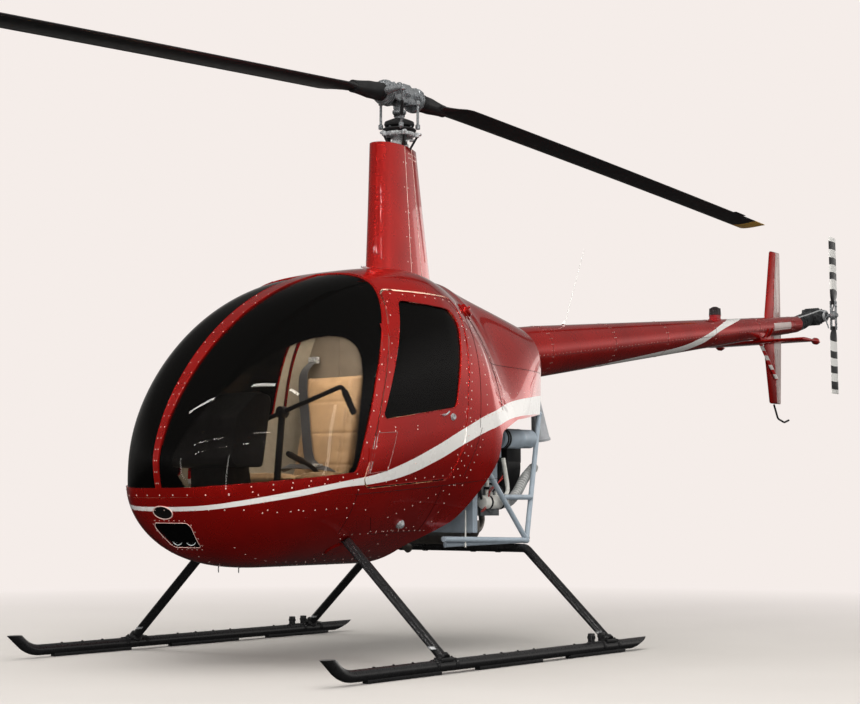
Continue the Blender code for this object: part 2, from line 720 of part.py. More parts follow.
def build_tail(root):
    bore = tail_cone(-BOOM_WALL)
    bore.data.transform(Matrix.Translation((0, -0.020, 0)))
    finish(cut(tail_cone(), bore), "tail_boom", root, "red_paint")

    axis = ((0, 4.182, 1.888), (0, 4.250, 1.905), (0, 4.345, 1.935))
    case = tube("case", axis, [0.050, 0.046, 0.052], 14)
    places = [TAIL_HUB + Vector((x - TAIL_HUB.x, 0, 0)) for x in (-0.045, 0.060, 0.122)]
    body = tube("body", places, [0.058, 0.052, 0.026], 16)
    finish(union("case", [case, body]), "tail_gearbox", root, "engine_grey")

    def plane(grow):
        rings = []
        for x in (-0.380 - grow, 0.330 + grow):
            foil = airfoil(0.225 + 2 * grow, 0.12, 6)
            rings.append([Vector((x, 3.570 - grow + back, 1.722 + rise * (1 + grow * 50))) for back, rise in foil])
        return loft("plane", rings)

    saddle = box("saddle", (-0.030, 3.620, 1.722), (0.030, 3.740, 1.800))
    stabiliser = cut(union("plane", [plane(0.0), saddle]), tail_cone(GAP))
    finish(stabiliser, "stabiliser", root, "red_paint")
    upper = fin("upper", 1.860, (3.775, 4.003), 2.350, (3.869, 4.005), -0.030, 0.026)
    finish(cut(upper, tail_cone(GAP)), "fin_upper", root, "red_paint")
    lower = fin("lower", 1.820, (3.748, 4.005), 1.336, (3.838, 3.986), -0.030, 0.026)
    cut(lower, tail_cone(GAP), plane(GAP), box("saddle", (-0.0304, 3.6196, 1.70), (0.0304, 3.7404, 1.81)))
    finish(lower, "fin_lower", root, "red_paint")
    bends = ((3.893, 1.3300), (3.945, 1.240), (4.035, 1.218), (4.100, 1.235))
    guard = arc_path([(-0.030, y, z) for y, z in bends], 0.04)
    finish(tube("guard", guard, 0.007, 8), "tail_guard", root, "black_paint")
    stack = [(0, 3.070, z) for z in (1.832, 1.862, 1.915)]
    lamp = tube("lamp", stack, [0.040, 0.036, 0.022], 16)
    cut(lamp, tail_cone(GAP))
    finish(lamp, "beacon", root, "beacon_red")


def build_landing_gear(root):
    for side, word in ((1, "left"), (-1, "right")):
        x = side * SKID_SPREAD
        path = arc_path(((x, -1.565, 0.150), (x, -1.430, 0.034), (x, 0.700, 0.034)), 0.150)
        runner = tube("runner", path, SKID_RADIUS, 12)
        toe = box("toe", (x - 0.1, -1.65, SKID_TOE_Z), (x + 0.1, -1.35, 0.30))
        heel_side = ((0.540, 0.000), (0.800, 0.000), (0.800, 0.060), (0.690, 0.056))
        heel = prism("heel", heel_side, x - 0.1, x + 0.1)
        cut(runner, toe, heel)
        shoes = [box("shoe", (x - 0.014, y, 0.0), (x + 0.014, y + 0.45, 0.020)) for y in (-1.30, -0.60, 0.06)]
        lugs = []
        for y in (0.235, 0.318):
            lugs.append(box("lug", (x - 0.012, y, 0.030), (x + 0.012, y + 0.024, 0.098)))
        finish(union("runner", [runner] + shoes + lugs), "skid_" + word, root, "black_paint")
        for name, y in (("front", -0.819), ("rear", 0.387)):
            foot = Vector((x, y, 0.058))
            if name == "rear":
                route = [Vector((side * 0.330, y, 0.469)), Vector((side * 0.465, y, 0.469)), foot]
                leg = tube("leg", arc_path(route, 0.05), LEG_RADIUS, 10)
            else:
                leg = tube("leg", (foot, Vector((side * 0.330, y, 0.5835))), LEG_RADIUS, 10)
                cut(leg, pod_solid("skin", -GAP))
            saddle = box("saddle", (x - 0.022, y - 0.038, 0.0500), (x + 0.022, y + 0.038, 0.070))
            leg = union("leg", [leg, saddle])
            trim = tube("trim", ((x, y - 0.08, 0.034), (x, y + 0.08, 0.034)), SKID_RADIUS + GAP, 12)
            finish(cut(leg, trim), "leg_" + name + "_" + word, root, "black_paint")
    cross = tube("cross", ((-0.3296, 0.387, 0.469), (0.3296, 0.387, 0.469)), LEG_RADIUS, 10)
    finish(cross, "cross_tube_rear", root, "black_paint")


def build_frame(root):
    """The steel tubes that carry the engine behind the cabin, and the bulkhead in front of it."""
    for side, word in ((1, "left"), (-1, "right")):
        rear_low = (side * 0.430, 0.440, 0.505)
        rear_top = (side * 0.262, 0.790, 1.130)
        members = (
            (rear_low, rear_top),
            ((side * 0.430, -0.200, 0.520), rear_low),
            ((side * 0.400, -0.150, 0.494), rear_low),
            ((side * 0.430, 0.085, 0.880), rear_low),
            ((side * 0.430, 0.243, 0.710), (side * 0.380, 0.547, 0.710)),
            (rear_low, (side * 0.150, 0.440, 0.505)),
            (rear_top, (side * 0.060, 0.800, 1.400)),
        )
        bars = [tube("bar", member, FRAME_RADIUS, 8) for member in members]
        frame = cut(union("frame", bars), tail_cone(GAP))
        finish(frame, "engine_frame_" + word, root, "frame_steel")
    bulkhead = box("bulkhead", (-0.415, 0.036, 0.545), (0.415, 0.046, 0.950))
    finish(bulkhead, "bay_bulkhead", root, "frame_steel")


def build_engine(root):
    """A flat four: block, sump, four finned cylinders, silencer below and fan scroll behind."""
    parts = [box("block", (-0.150, 0.062, 0.585), (0.150, 0.360, 0.810))]
    parts.append(box("sump", (-0.110, 0.100, 0.575), (0.110, 0.330, 0.590)))
    for side in (1, -1):
        for y in (0.125, 0.290):
            barrel = ((side * 0.149, y, 0.695), (side * 0.335, y, 0.695))
            parts.append(tube("cylinder", barrel, 0.066, 12))
            for k in range(6):
                x = side * (0.175 + 0.026 * k)
                parts.append(box("fin", (x - 0.005, y - 0.075, 0.612), (x + 0.005, y + 0.075, 0.778)))
    finish(union("engine", parts), "engine", root, "engine_grey")

    reach, level = 0.300, 0.525
    pipe = ((-reach, 0.21, 0.600), (-reach, 0.21, level), (reach, 0.21, level), (reach, 0.21, 0.600))
    exhaust = [tube("pipe", arc_path(pipe, 0.03), 0.018, 10)]
    exhaust.append(tube("silencer", ((-0.250, 0.21, level), (0.250, 0.21, level)), 0.040, 16))
    exhaust.append(tube("tail", ((-0.200, 0.21, level), (-0.200, 0.320, 0.455)), 0.022, 10))
    finish(union("exhaust", exhaust), "exhaust", root, "silver_metal")

    scroll = [tube("scroll", ((0, 0.550, FAN_Z), (0, 0.675, FAN_Z)), FAN_RADIUS, 28)]
    scroll.append(box("spout", (0.070, 0.551, FAN_Z), (FAN_RADIUS - 0.001, 0.674, 1.050)))
    scroll.append(tube("neck", ((0, 0.3604, CRANK_Z), (0, 0.555, CRANK_Z)), 0.045, 14))
    scroll.append(tube("sheave", ((0, BELT_Y[0], CRANK_Z), (0, BELT_Y[1], CRANK_Z)), SHEAVE_LOW, 20))
    eye = tube("eye", ((0, 0.630, 0.840), (0, 0.720, 0.840)), 0.140, 20)
    finish(cut(union("scroll", scroll), eye), "fan_scroll", root, "black_plastic")

    bracket = box("bracket", (0.276, 0.300, 0.7785), (0.288, 0.400, 1.030))
    drum = tube("drum", ((0.300, 0.395, 0.992), (0.300, 0.660, 0.998)), 0.047, 16)
    finish(union("drum", [bracket, drum]), "oil_cooler_drum", root, "engine_grey")

    intake = [tube("can", ((0.372, 0.165, 0.685), (0.372, 0.345, 0.690)), 0.032, 14)]
    front_pipe = ((0.372, 0.205, 0.690), (0.372, 0.200, 0.870))
    rear_pipe = ((0.372, 0.330, 0.690), (0.368, 0.385, 0.740), (0.365, 0.342, 0.895))
    hose = ((0.372, 0.335, 0.690), (0.350, 0.460, 0.715), (0.300, 0.600, 0.800), (0.290, 0.700, 0.860))
    rear_pipe = arc_path(rear_pipe, 0.02)
    hose = arc_path(hose, 0.15)
    for path, radius in ((front_pipe, 0.0095), (rear_pipe, 0.0095), (hose, 0.017)):
        intake.append(tube("pipe", path, radius, 10))
    finish(union("intake", intake), "intake_pipes", root, "cream_duct")

    duct = [tube("duct", ((0.195, 0.850, 1.225), (0.200, 0.893, 0.997)), [0.022, 0.049], 16)]
    duct.append(tube("arm", ((0.195, 0.850, 1.215), (0.191, 0.8070, 1.219)), 0.008, 8))
    finish(union("duct", duct), "rear_duct", root, "engine_grey")


def belt_outline(low_radius, high_radius, steps=12):
    """The line (x, z) of a belt round the lower and the upper sheave."""
    lean = math.asin((high_radius - low_radius) / (SHAFT_Z - CRANK_Z))
    points = []
    arcs = (
        (SHAFT_Z, high_radius, -lean, math.pi + lean),
        (CRANK_Z, low_radius, math.pi + lean, 2 * math.pi - lean),
    )
    for z, radius, start, end in arcs:
        for k in range(steps + 1):
            angle = start + (end - start) * k / steps
            points.append((radius * math.cos(angle), z + radius * math.sin(angle)))
    return points


def belt_block(name, grow, start, end):
    outline = belt_outline(SHEAVE_LOW + grow, SHEAVE_HIGH + grow)
    return loft(name, [[Vector((x, y, z)) for x, z in outline] for y in (start, end)])


def build_drive(root):
    """The main gearbox, its shaft and the two belts that turn it."""
    front, rear = BELT_Y
    gear = [box("gear", (-0.090, -0.065, 1.080), (0.090, 0.140, 1.300))]
    gear.append(tube("shaft", ((0, 0.139, 1.190), (0, 0.600, 1.340)), 0.025, 12))
    gear.append(tube("sheave", ((0, front, SHAFT_Z), (0, rear, SHAFT_Z)), SHEAVE_HIGH, 24))
    finish(union("gear", gear), "main_gearbox", root, "engine_grey")
    belts = belt_block("belts", 0.012, front + 0.004, rear - 0.004)
    cut(belts, belt_block("inside", 0.002, front - 0.01, rear + 0.01))
    finish(belts, "drive_belts", root, "belt_rubber")


def build_landing_lights(root):
    lamps = [tube("lamp", ((x, -1.370, 0.5425), (x, -1.335, 0.5425)), 0.0205, 16) for x in (-0.040, 0.040)]
    plate = box("plate", (-0.072, -1.340, 0.526), (0.072, -1.330, 0.566))
    finish(union("lamps", [plate] + lamps), "landing_lights", root, "lamp_glass")


def main():
    clear_scene()
    root = empty("aircraft", (0, 0, 0), None)
    root.location = (0, REAR_SHIFT, 0)
    rotor = empty("main_rotor_axis", (0, 0, HUB_HEIGHT), root)
    tail_rotor = empty("tail_rotor_axis", TAIL_HUB, root)
    doors = {
        "left": empty("door_left_axis", (0.580, -0.790, 1.100), root),
        "right": empty("door_right_axis", (-0.580, -0.790, 1.100), root),
    }
    build_cabin(root, doors)
    build_interior(root)
    build_mast(root)
    build_rotor(rotor)
    build_tail_rotor(tail_rotor)
    build_tail(root)
    build_landing_gear(root)
    build_frame(root)
    build_engine(root)
    build_drive(root)
    build_landing_lights(root)


main()
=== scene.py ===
"""Looks of a light two-seat helicopter: its skin, glass, cabin, open engine bay, rotors and gear.

Lengths are in metres. Shapes are given in the aircraft's own frame, whose origin is on the ground
below the main rotor's axis, with the nose to -Y and the port side to +X. Every mesh is then moved
back by REAR_SHIFT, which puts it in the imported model's frame.
"""

import json
import math

import bmesh
import bpy
import numpy as np
from mathutils import Matrix, Vector
from mathutils.bvhtree import BVHTree


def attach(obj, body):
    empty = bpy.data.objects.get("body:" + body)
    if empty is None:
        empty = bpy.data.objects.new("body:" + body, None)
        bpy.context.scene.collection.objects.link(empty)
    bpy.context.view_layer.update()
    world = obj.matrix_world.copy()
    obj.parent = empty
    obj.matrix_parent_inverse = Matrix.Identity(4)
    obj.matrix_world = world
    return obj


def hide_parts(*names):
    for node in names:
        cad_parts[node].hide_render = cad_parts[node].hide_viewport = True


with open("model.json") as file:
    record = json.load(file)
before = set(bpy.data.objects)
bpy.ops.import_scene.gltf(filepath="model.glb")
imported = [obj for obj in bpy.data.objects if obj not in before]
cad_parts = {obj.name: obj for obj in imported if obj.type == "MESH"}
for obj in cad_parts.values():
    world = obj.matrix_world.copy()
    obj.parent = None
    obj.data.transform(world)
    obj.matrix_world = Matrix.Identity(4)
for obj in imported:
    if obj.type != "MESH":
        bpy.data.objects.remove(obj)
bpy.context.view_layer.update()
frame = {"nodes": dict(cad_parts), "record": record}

# The same driving dimensions as the solids
REAR_SHIFT = -0.3066
MAIN_RADIUS = 3.835
MAIN_CHORD = 0.183
HUB_HEIGHT = 2.654
MAIN_TURN = -0.0465
TAIL_RADIUS = 0.533
TAIL_CHORD = 0.102
TAIL_HUB = Vector((0.170, 4.392, 1.952))
SKID_SPREAD = 0.923
SKID_RADIUS = 0.024
SKID_TOE_Z = 0.104
LEG_RADIUS = 0.0205
GAP = 0.0004
DOOR_GAP = 0.0075
NOSE_Y = -1.538
NOSE_Z = 0.851
ROOF_Z = 1.7625
BELLY_Z = 0.4065
HALF_WIDTH = 0.575
ROOF_LEVEL_Y = -0.20
BELLY_LEVEL_Y = -0.99
FULL_WIDTH_Y = -0.60
FIREWALL_Y = 0.10
COWL_END_Y = 0.763
SHOULDER_Y = -0.45
TENT_Y = 0.20
FAIRING_END_Y = 0.236
COWL_DROP = 0.165
COWL_TAPER = 0.282
SKIN = 0.022
EDGE_SLOPE = 0.60
GLASS_INSET = 0.006
GLASS = 0.005
POD_SIDES = 176
FAIRING = (
    (-0.217, 0.236, 0.078, ROOF_Z + GAP),
    (-0.203, 0.180, 0.072, 2.080),
    (-0.192, 0.127, 0.066, 2.392),
)
BOOM = ((0.660, 0.139, 1.4222), (1.100, 0.139, 1.480), (4.165, 0.0542, 1.8825))
FRAME_RADIUS = 0.0125

# Outlines seen from the side: y, z, corner radius
WINDSHIELD = (
    (-1.640, 0.728, 0.0),
    (-0.918, 0.806, 0.030),
    (-0.805, 1.209, 0.0),
    (-0.737, 1.400, 0.0),
    (-0.640, 1.640, 0.0),
    (-0.600, 1.900, 0.0),
    (-1.640, 1.900, 0.0),
)
DOOR = (
    (-0.878, 0.745, 0.035),
    (-0.302, 0.790, 0.050),
    (-0.230, 0.940, 0.100),
    (-0.150, 1.605, 0.060),
    (-0.645, 1.605, 0.050),
)
DOOR_WINDOW = (
    (-0.782, 1.030, 0.020),
    (-0.285, 1.105, 0.035),
    (-0.195, 1.545, 0.080),
    (-0.585, 1.562, 0.040),
)
LAMP_WINDOW = (
    (-0.080, 0.500, 0.020),
    (0.080, 0.500, 0.020),
    (0.112, 0.598, 0.020),
    (-0.112, 0.598, 0.020),
)
TUB_SEAM = ((-1.700, 0.698), (-0.905, 0.716), (-0.300, 0.760), (0.300, 0.830))
BAY_EDGE = (
    (-0.360, 0.300, 0.0),
    (0.900, 0.300, 0.0),
    (0.900, 1.140, 0.0),
    (0.300, 1.075, 0.050),
    (0.080, 1.010, 0.040),
    (0.045, 0.890, 0.080),
    (-0.150, 0.600, 0.120),
    (-0.345, 0.490, 0.050),
)
BOW_HALF_WIDTH_LOW = 0.013
BOW_HALF_WIDTH_HIGH = 0.046

# The white stripe on the pod: y, lower edge z, upper edge z
STRIPE = (
    (-1.560, 0.632, 0.650),
    (-1.487, 0.646, 0.666),
    (-1.332, 0.678, 0.701),
    (-1.169, 0.708, 0.734),
    (-0.967, 0.746, 0.772),
    (-0.810, 0.762, 0.800),
    (-0.651, 0.790, 0.846),
    (-0.424, 0.860, 0.930),
    (-0.207, 0.950, 1.022),
    (-0.012, 1.020, 1.095),
    (0.262, 1.083, 1.159),
    (0.550, 1.112, 1.198),
    (0.780, 1.125, 1.220),
)
SIDES = ((1, "left"), (-1, "right"))
UP = Vector((0, 0, 1))
# The turn between two points of a rounded corner
ARC_STEP = math.radians(9)


# Material helpers

MATERIALS = {}


def new_material(name):
    """A material from nodes, listed under its name: its node tree and its shader node."""
    made = bpy.data.materials.new(name)
    made.use_nodes = True
    MATERIALS[name] = made
    return made.node_tree, made.node_tree.nodes["Principled BSDF"]


def add(tree, kind, **settings):
    """A new node with its settings."""
    made = tree.nodes.new(kind)
    for key, value in settings.items():
        setattr(made, key, value)
    return made


def link(tree, source, target):
    tree.links.new(source, target)


def math_node(tree, operation, first, second=None, clamp=False):
    """A Math node. Each of its values is a number or another node's output."""
    made = add(tree, "ShaderNodeMath", operation=operation, use_clamp=clamp)
    for i, value in enumerate((first, second)):
        if value is None:
            continue
        if isinstance(value, (int, float)):
            made.inputs[i].default_value = value
        else:
            link(tree, value, made.inputs[i])
    return made.outputs[0]


def object_place(tree):
    """The surface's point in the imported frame, for textures."""
    return add(tree, "ShaderNodeTexCoord").outputs["Object"]


def object_point(tree):
    """X, Y and Z of the surface in the aircraft's frame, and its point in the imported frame."""
    place = object_place(tree)
    split = add(tree, "ShaderNodeSeparateXYZ")
    link(tree, place, split.inputs[0])
    y = math_node(tree, "SUBTRACT", split.outputs[1], REAR_SHIFT)
    return split.outputs[0], y, split.outputs[2], place


def length_of(tree, first, second):
    """The length of a flat step, from its two parts."""
    squares = [math_node(tree, "MULTIPLY", part, part) for part in (first, second)]
    return math_node(tree, "SQRT", math_node(tree, "ADD", *squares))


def noise(tree, place, scale, detail=3.0):
    """Cloudy noise at a point, its patches about 1 / scale wide."""
    made = add(tree, "ShaderNodeTexNoise")
    made.inputs["Scale"].default_value = scale
    made.inputs["Detail"].default_value = detail
    made.inputs["Roughness"].default_value = 0.55
    link(tree, place, made.inputs["Vector"])
    return made.outputs["Fac"]


def ramp(tree, value, low, high, start=0.0, end=1.0):
    """Maps low..high to start..end, clamped."""
    made = add(tree, "ShaderNodeMapRange", clamp=True)
    link(tree, value, made.inputs[0])
    for i, number in enumerate((low, high, start, end)):
        made.inputs[i + 1].default_value = number
    return made.outputs[0]


def cloud(tree, place, scale, detail=3.0, start=0.0, end=1.0):
    """Soft patches that run from start to end."""
    return ramp(tree, noise(tree, place, scale, detail), 0.3, 0.7, start, end)


def between(tree, value, low, high, soft):
    """1 where the value lies between two others and 0 elsewhere, with edges this soft."""
    above = ramp(tree, math_node(tree, "SUBTRACT", value, low), -soft, soft)
    below = ramp(tree, math_node(tree, "SUBTRACT", high, value), -soft, soft)
    return math_node(tree, "MULTIPLY", above, below)


def mix_colour(tree, share, first, second):
    """The first colour where the share is 0 and the second where it is 1."""
    made = add(tree, "ShaderNodeMix", data_type="RGBA")
    link(tree, share, made.inputs[0])
    for i, value in ((6, first), (7, second)):
        if isinstance(value, tuple):
            made.inputs[i].default_value = (*value, 1.0)
        else:
            link(tree, value, made.inputs[i])
    return made.outputs[2]


def mix_shader(tree, share, first, second):
    """The first shader where the share is 0 and the second where it is 1."""
    made = add(tree, "ShaderNodeMixShader")
    for i, source in enumerate((share, first, second)):
        link(tree, source, made.inputs[i])
    return made.outputs[0]


def bump(tree, shader, height, strength, distance=0.001):
    """Lets a height stand out of the surface."""
    made = add(tree, "ShaderNodeBump")
    made.inputs["Strength"].default_value = strength
    made.inputs["Distance"].default_value = distance
    link(tree, height, made.inputs["Height"])
    link(tree, made.outputs[0], shader.inputs["Normal"])


def curve_node(tree, value, pairs, start, end):
    """A smooth curve through the pairs, read at value, which runs from start to end."""
    share = ramp(tree, value, start, end)
    made = add(tree, "ShaderNodeFloatCurve")
    link(tree, share, made.inputs["Value"])
    curve = made.mapping.curves[0]
    low = min(y for _, y in pairs)
    high = max(y for _, y in pairs)
    spots = [((x - start) / (end - start), (y - low) / (high - low)) for x, y in pairs]
    curve.points[0].location = spots[0]
    curve.points[1].location = spots[-1]
    for spot in spots[1:-1]:
        curve.points.new(*spot)
    made.mapping.update()
    return ramp(tree, made.outputs[0], 0.0, 1.0, low, high)


def simple_material(name, colour, roughness, metallic=0.0, scale=40.0, spread=0.25, grain=0.0,
                    grain_scale=300.0, coat=0.0):
    """Paint, metal or plastic with cloudy colour, uneven gloss and a fine grain."""
    tree, shader = new_material(name)
    place = object_place(tree)
    dark = tuple(c * (1 - spread) for c in colour)
    pale = tuple(min(c * (1 + spread), 1.0) for c in colour)
    link(tree, mix_colour(tree, cloud(tree, place, scale), dark, pale), shader.inputs["Base Color"])
    low, high = max(roughness - 0.06, 0.0), min(roughness + 0.06, 1.0)
    link(tree, cloud(tree, place, scale * 2.3, 4.0, low, high), shader.inputs["Roughness"])
    shader.inputs["Metallic"].default_value = metallic
    shader.inputs["Coat Weight"].default_value = coat
    shader.inputs["Coat Roughness"].default_value = 0.05
    if grain:
        bump(tree, shader, noise(tree, place, grain_scale, 2.0), grain)


RED = (0.66, 0.012, 0.008)
DEEP_RED = (0.50, 0.008, 0.006)
FLAKE_RED = (0.60, 0.03, 0.02)
FLAKE_METAL = 0.72
WHITE_PAINT = (0.83, 0.82, 0.80)
# Pale pink for the fins' rear half: a painted reflection.
PAINTED_REFLECTION_PALE = (0.50, 0.38, 0.36)


def paint_material(name, mask_of=None, second=WHITE_PAINT):
    """Deep metallic red under clear coat, with a second colour where the mask function says so."""
    tree, shader = new_material(name)
    x, y, z, place = object_point(tree)
    patches = ramp(tree, noise(tree, place, 3.0), 0.35, 0.65)
    colour = mix_colour(tree, patches, RED, DEEP_RED)
    flake = add(tree, "ShaderNodeTexVoronoi")
    flake.inputs["Scale"].default_value = 900.0
    link(tree, place, flake.inputs["Vector"])
    sparkle = ramp(tree, flake.outputs["Distance"], 0.0, 0.6, 0.12, 0.0)
    colour = mix_colour(tree, sparkle, colour, FLAKE_RED)
    if mask_of:
        mask = mask_of(tree, x, y, z)
        colour = mix_colour(tree, mask, colour, second)
        link(tree, ramp(tree, mask, 0.0, 1.0, FLAKE_METAL, 0.0), shader.inputs["Metallic"])
    else:
        shader.inputs["Metallic"].default_value = FLAKE_METAL
    link(tree, colour, shader.inputs["Base Color"])
    link(tree, cloud(tree, place, 9.0, 4.0, 0.24, 0.32), shader.inputs["Roughness"])
    shader.inputs["Coat Weight"].default_value = 1.0
    shader.inputs["Coat Roughness"].default_value = 0.02
    bump(tree, shader, noise(tree, place, 5.0, 1.0), 0.02)


def pod_stripe(tree, x, y, z):
    """1 between the stripe's lower and upper edges."""
    start, end = STRIPE[0][0], STRIPE[-1][0]
    low, high = (curve_node(tree, y, [(row[0], row[i]) for row in STRIPE], start, end) for i in (1, 2))
    return between(tree, z, low, high, 0.0006)


def glass_material(name, tint):
    """Thin tinted plastic: what is behind it shows through, and it mirrors more at a glance."""
    tree, shader = new_material(name)
    shader.inputs["Base Color"].default_value = (0.004, 0.004, 0.004, 1.0)
    link(tree, cloud(tree, object_place(tree), 5.0, end=0.03), shader.inputs["Roughness"])
    shader.inputs["IOR"].default_value = 1.5
    shader.inputs["Specular IOR Level"].default_value = 1.0
    clear = add(tree, "ShaderNodeBsdfTransparent")
    clear.inputs[0].default_value = (*tint, 1.0)
    glance = add(tree, "ShaderNodeFresnel")
    glance.inputs["IOR"].default_value = 1.6
    share = ramp(tree, glance.outputs[0], 0.0, 0.85, 0.10, 1.0)
    pane = mix_shader(tree, share, clear.outputs[0], shader.outputs[0])
    # Lamps shine through the pane without loss
    open_way = add(tree, "ShaderNodeBsdfTransparent")
    shadow = add(tree, "ShaderNodeLightPath").outputs["Is Shadow Ray"]
    pane = mix_shader(tree, shadow, pane, open_way.outputs[0])
    link(tree, pane, tree.nodes["Material Output"].inputs[0])


# Mesh helpers

def in_scene(name, data):
    """A new object in the scene."""
    made = bpy.data.objects.new(name, data)
    bpy.context.scene.collection.objects.link(made)
    return made


def piece(name, mesh, body, material, replaces=(), smooth=35.0):
    """Makes a named piece of the mesh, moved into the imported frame, riding on a body."""
    if isinstance(mesh, bmesh.types.BMesh):
        shape = mesh
        mesh = bpy.data.meshes.new(name)
        shape.to_mesh(mesh)
        shape.free()
    mesh.name = name
    mesh.transform(Matrix.Translation((0, REAR_SHIFT, 0)))
    made = in_scene(name, mesh)
    if smooth is not None:
        mesh.shade_smooth()
        mesh.set_sharp_from_angle(angle=math.radians(smooth))
    mesh.materials.clear()
    mesh.materials.append(MATERIALS[material])
    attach(made, body)
    if replaces:
        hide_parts(*([replaces] if isinstance(replaces, str) else replaces))
    return made


def loft_into(shape, rings, closed=True, capped=True):
    """Adds a skin through rings of points to a bmesh."""
    rows = [[shape.verts.new(point) for point in ring] for ring in rings]
    count = len(rows[0])
    for low, high in zip(rows, rows[1:]):
        for i in range(count if closed else count - 1):
            j = (i + 1) % count
            shape.faces.new((low[i], low[j], high[j], high[i]))
    if capped:
        shape.faces.new(rows[0][::-1])
        shape.faces.new(rows[-1])


def frame_along(direction):
    """Two unit vectors square to a direction and to each other."""
    direction = direction.normalized()
    up = Vector((0, 0, 1)) if abs(direction.z) < 0.95 else Vector((0, 1, 0))
    side = direction.cross(up).normalized()
    return side, side.cross(direction).normalized()


def rays(count):
    """Level unit vectors at even steps all round."""
    angles = (2 * math.pi * k / count for k in range(count))
    return [Vector((math.cos(a), math.sin(a), 0)) for a in angles]


def tube_into(shape, path, radii, sides=14, closed=False):
    """Adds a round bar along a path of points. radii is one number or one for each point."""
    path = [Vector(p) for p in path]
    if closed:
        path.append(path[0])
    if not isinstance(radii, (list, tuple)):
        radii = [radii] * len(path)
    side, up = frame_along(path[1] - path[0])
    rings = []
    for i, (point, radius) in enumerate(zip(path, radii)):
        back = (path[i] - path[i - 1]).normalized() if i else (path[1] - path[0]).normalized()
        ahead = (path[i + 1] - path[i]).normalized() if i + 1 < len(path) else back
        along = (back + ahead).normalized()
        side = (side - along * side.dot(along)).normalized()
        up = side.cross(along).normalized()
        stretch = 1.0 / max(back.dot(along), 0.5)
        bend = ahead - back
        bend = bend.normalized() if bend.length > 1e-6 else Vector((0, 0, 0))
        ring = []
        for k in range(sides):
            angle = 2 * math.pi * (k + 0.5) / sides
            spot = side * (math.cos(angle) * radius) + up * (math.sin(angle) * radius)
            spot += bend * (spot.dot(bend) * (stretch - 1.0))
            ring.append(point + spot)
        rings.append(ring)
    loft_into(shape, rings)


def smooth_path(points, steps=8):
    """A Catmull-Rom curve through the points."""
    points = [Vector(p) for p in points]
    ends = [points[0] * 2 - points[1]] + points + [points[-1] * 2 - points[-2]]
    out = []
    for a, b, c, d in zip(ends, ends[1:], ends[2:], ends[3:]):
        for k in range(steps):
            t = k / steps
            out.append(0.5 * ((2 * b) + (c - a) * t + (2 * a - 5 * b + 4 * c - d) * t**2
                              + (3 * b - a - 3 * c + d) * t**3))
    return out + [points[-1]]


def arc_path(path, radius, step=ARC_STEP):
    """The path with its inner corners turned into arcs."""
    path = [Vector(p) for p in path]
    points = [path[0]]
    for before, corner, after in zip(path, path[1:], path[2:]):
        back = (before - corner).normalized()
        ahead = (after - corner).normalized()
        half = back.angle(ahead) / 2
        cut = radius / math.tan(half)
        middle = (back + ahead).normalized()
        centre = corner + middle * (radius / math.sin(half))
        start = corner + back * cut - centre
        turn = math.pi - 2 * half
        pieces = max(1, math.ceil(turn / step))
        axis = start.cross(corner + ahead * cut - centre).normalized()
        for k in range(pieces + 1):
            points.append(centre + Matrix.Rotation(turn * k / pieces, 3, axis) @ start)
    points.append(path[-1])
    return points


def lathe_into(shape, base, axis, profile, sides=28, capped=True):
    """Turns a profile of (along, radius) pairs round an axis through base."""
    base, axis = Vector(base), Vector(axis).normalized()
    side, up = frame_along(axis)
    rings = []
    for along, radius in profile:
        middle = base + axis * along
        rings.append([middle + (side * math.cos(a) + up * math.sin(a)) * max(radius, 0.00005)
                      for a in (2 * math.pi * k / sides for k in range(sides))])
    loft_into(shape, rings, capped=capped)


def collar_into(shape, base, axis, inner, outer, width, sides):
    """A ring round a bar, with its edges bevelled."""
    rows = ((0, inner), (0.001, outer), (width - 0.001, outer), (width, inner))
    lathe_into(shape, base, axis, rows, sides, capped=False)


def rod_end_into(shape, base, axis, inner, outer, height, sides):
    """The round eye at the end of a rod, with its edges bevelled."""
    rows = ((0, inner), (0.003, outer), (height - 0.003, outer), (height, inner))
    lathe_into(shape, base, axis, rows, sides)


def bevel_edges(shape, offset):
    """Rounds all edges of a block."""
    bmesh.ops.bevel(shape, geom=shape.edges[:], offset=offset, segments=2, affect="EDGES", profile=0.6)


def box_into(shape, low, high, edge=0.0, turn=None):
    """Adds a box between two corners with bevelled edges. turn is a matrix about its middle."""
    low, high = Vector(low), Vector(high)
    made = bmesh.new()
    bmesh.ops.create_cube(made, size=1.0)
    bmesh.ops.scale(made, vec=high - low, verts=made.verts)
    if edge:
        bevel_edges(made, edge)
    if turn is not None:
        bmesh.ops.transform(made, matrix=turn.to_4x4(), verts=made.verts)
    bmesh.ops.translate(made, vec=(low + high) / 2, verts=made.verts)
    merge(shape, made)


def merge(shape, other):
    """Copies another bmesh into this one, and frees the other."""
    spots = {vert: shape.verts.new(vert.co) for vert in other.verts}
    for face in other.faces:
        shape.faces.new([spots[v] for v in face.verts])
    other.free()


def hex_bolt(shape, place, normal, radius=0.006, height=0.004):
    """A washer with a six-sided head on it."""
    washer = ((0, radius * 1.45), (height * 0.3, radius * 1.45), (height * 0.3, 0))
    lathe_into(shape, place, normal, washer, 16, capped=False)
    head = ((height * 0.3, radius), (height * 1.1, radius), (height * 1.3, radius * 0.8), (height * 1.3, 0))
    lathe_into(shape, place, normal, head, 6, capped=False)


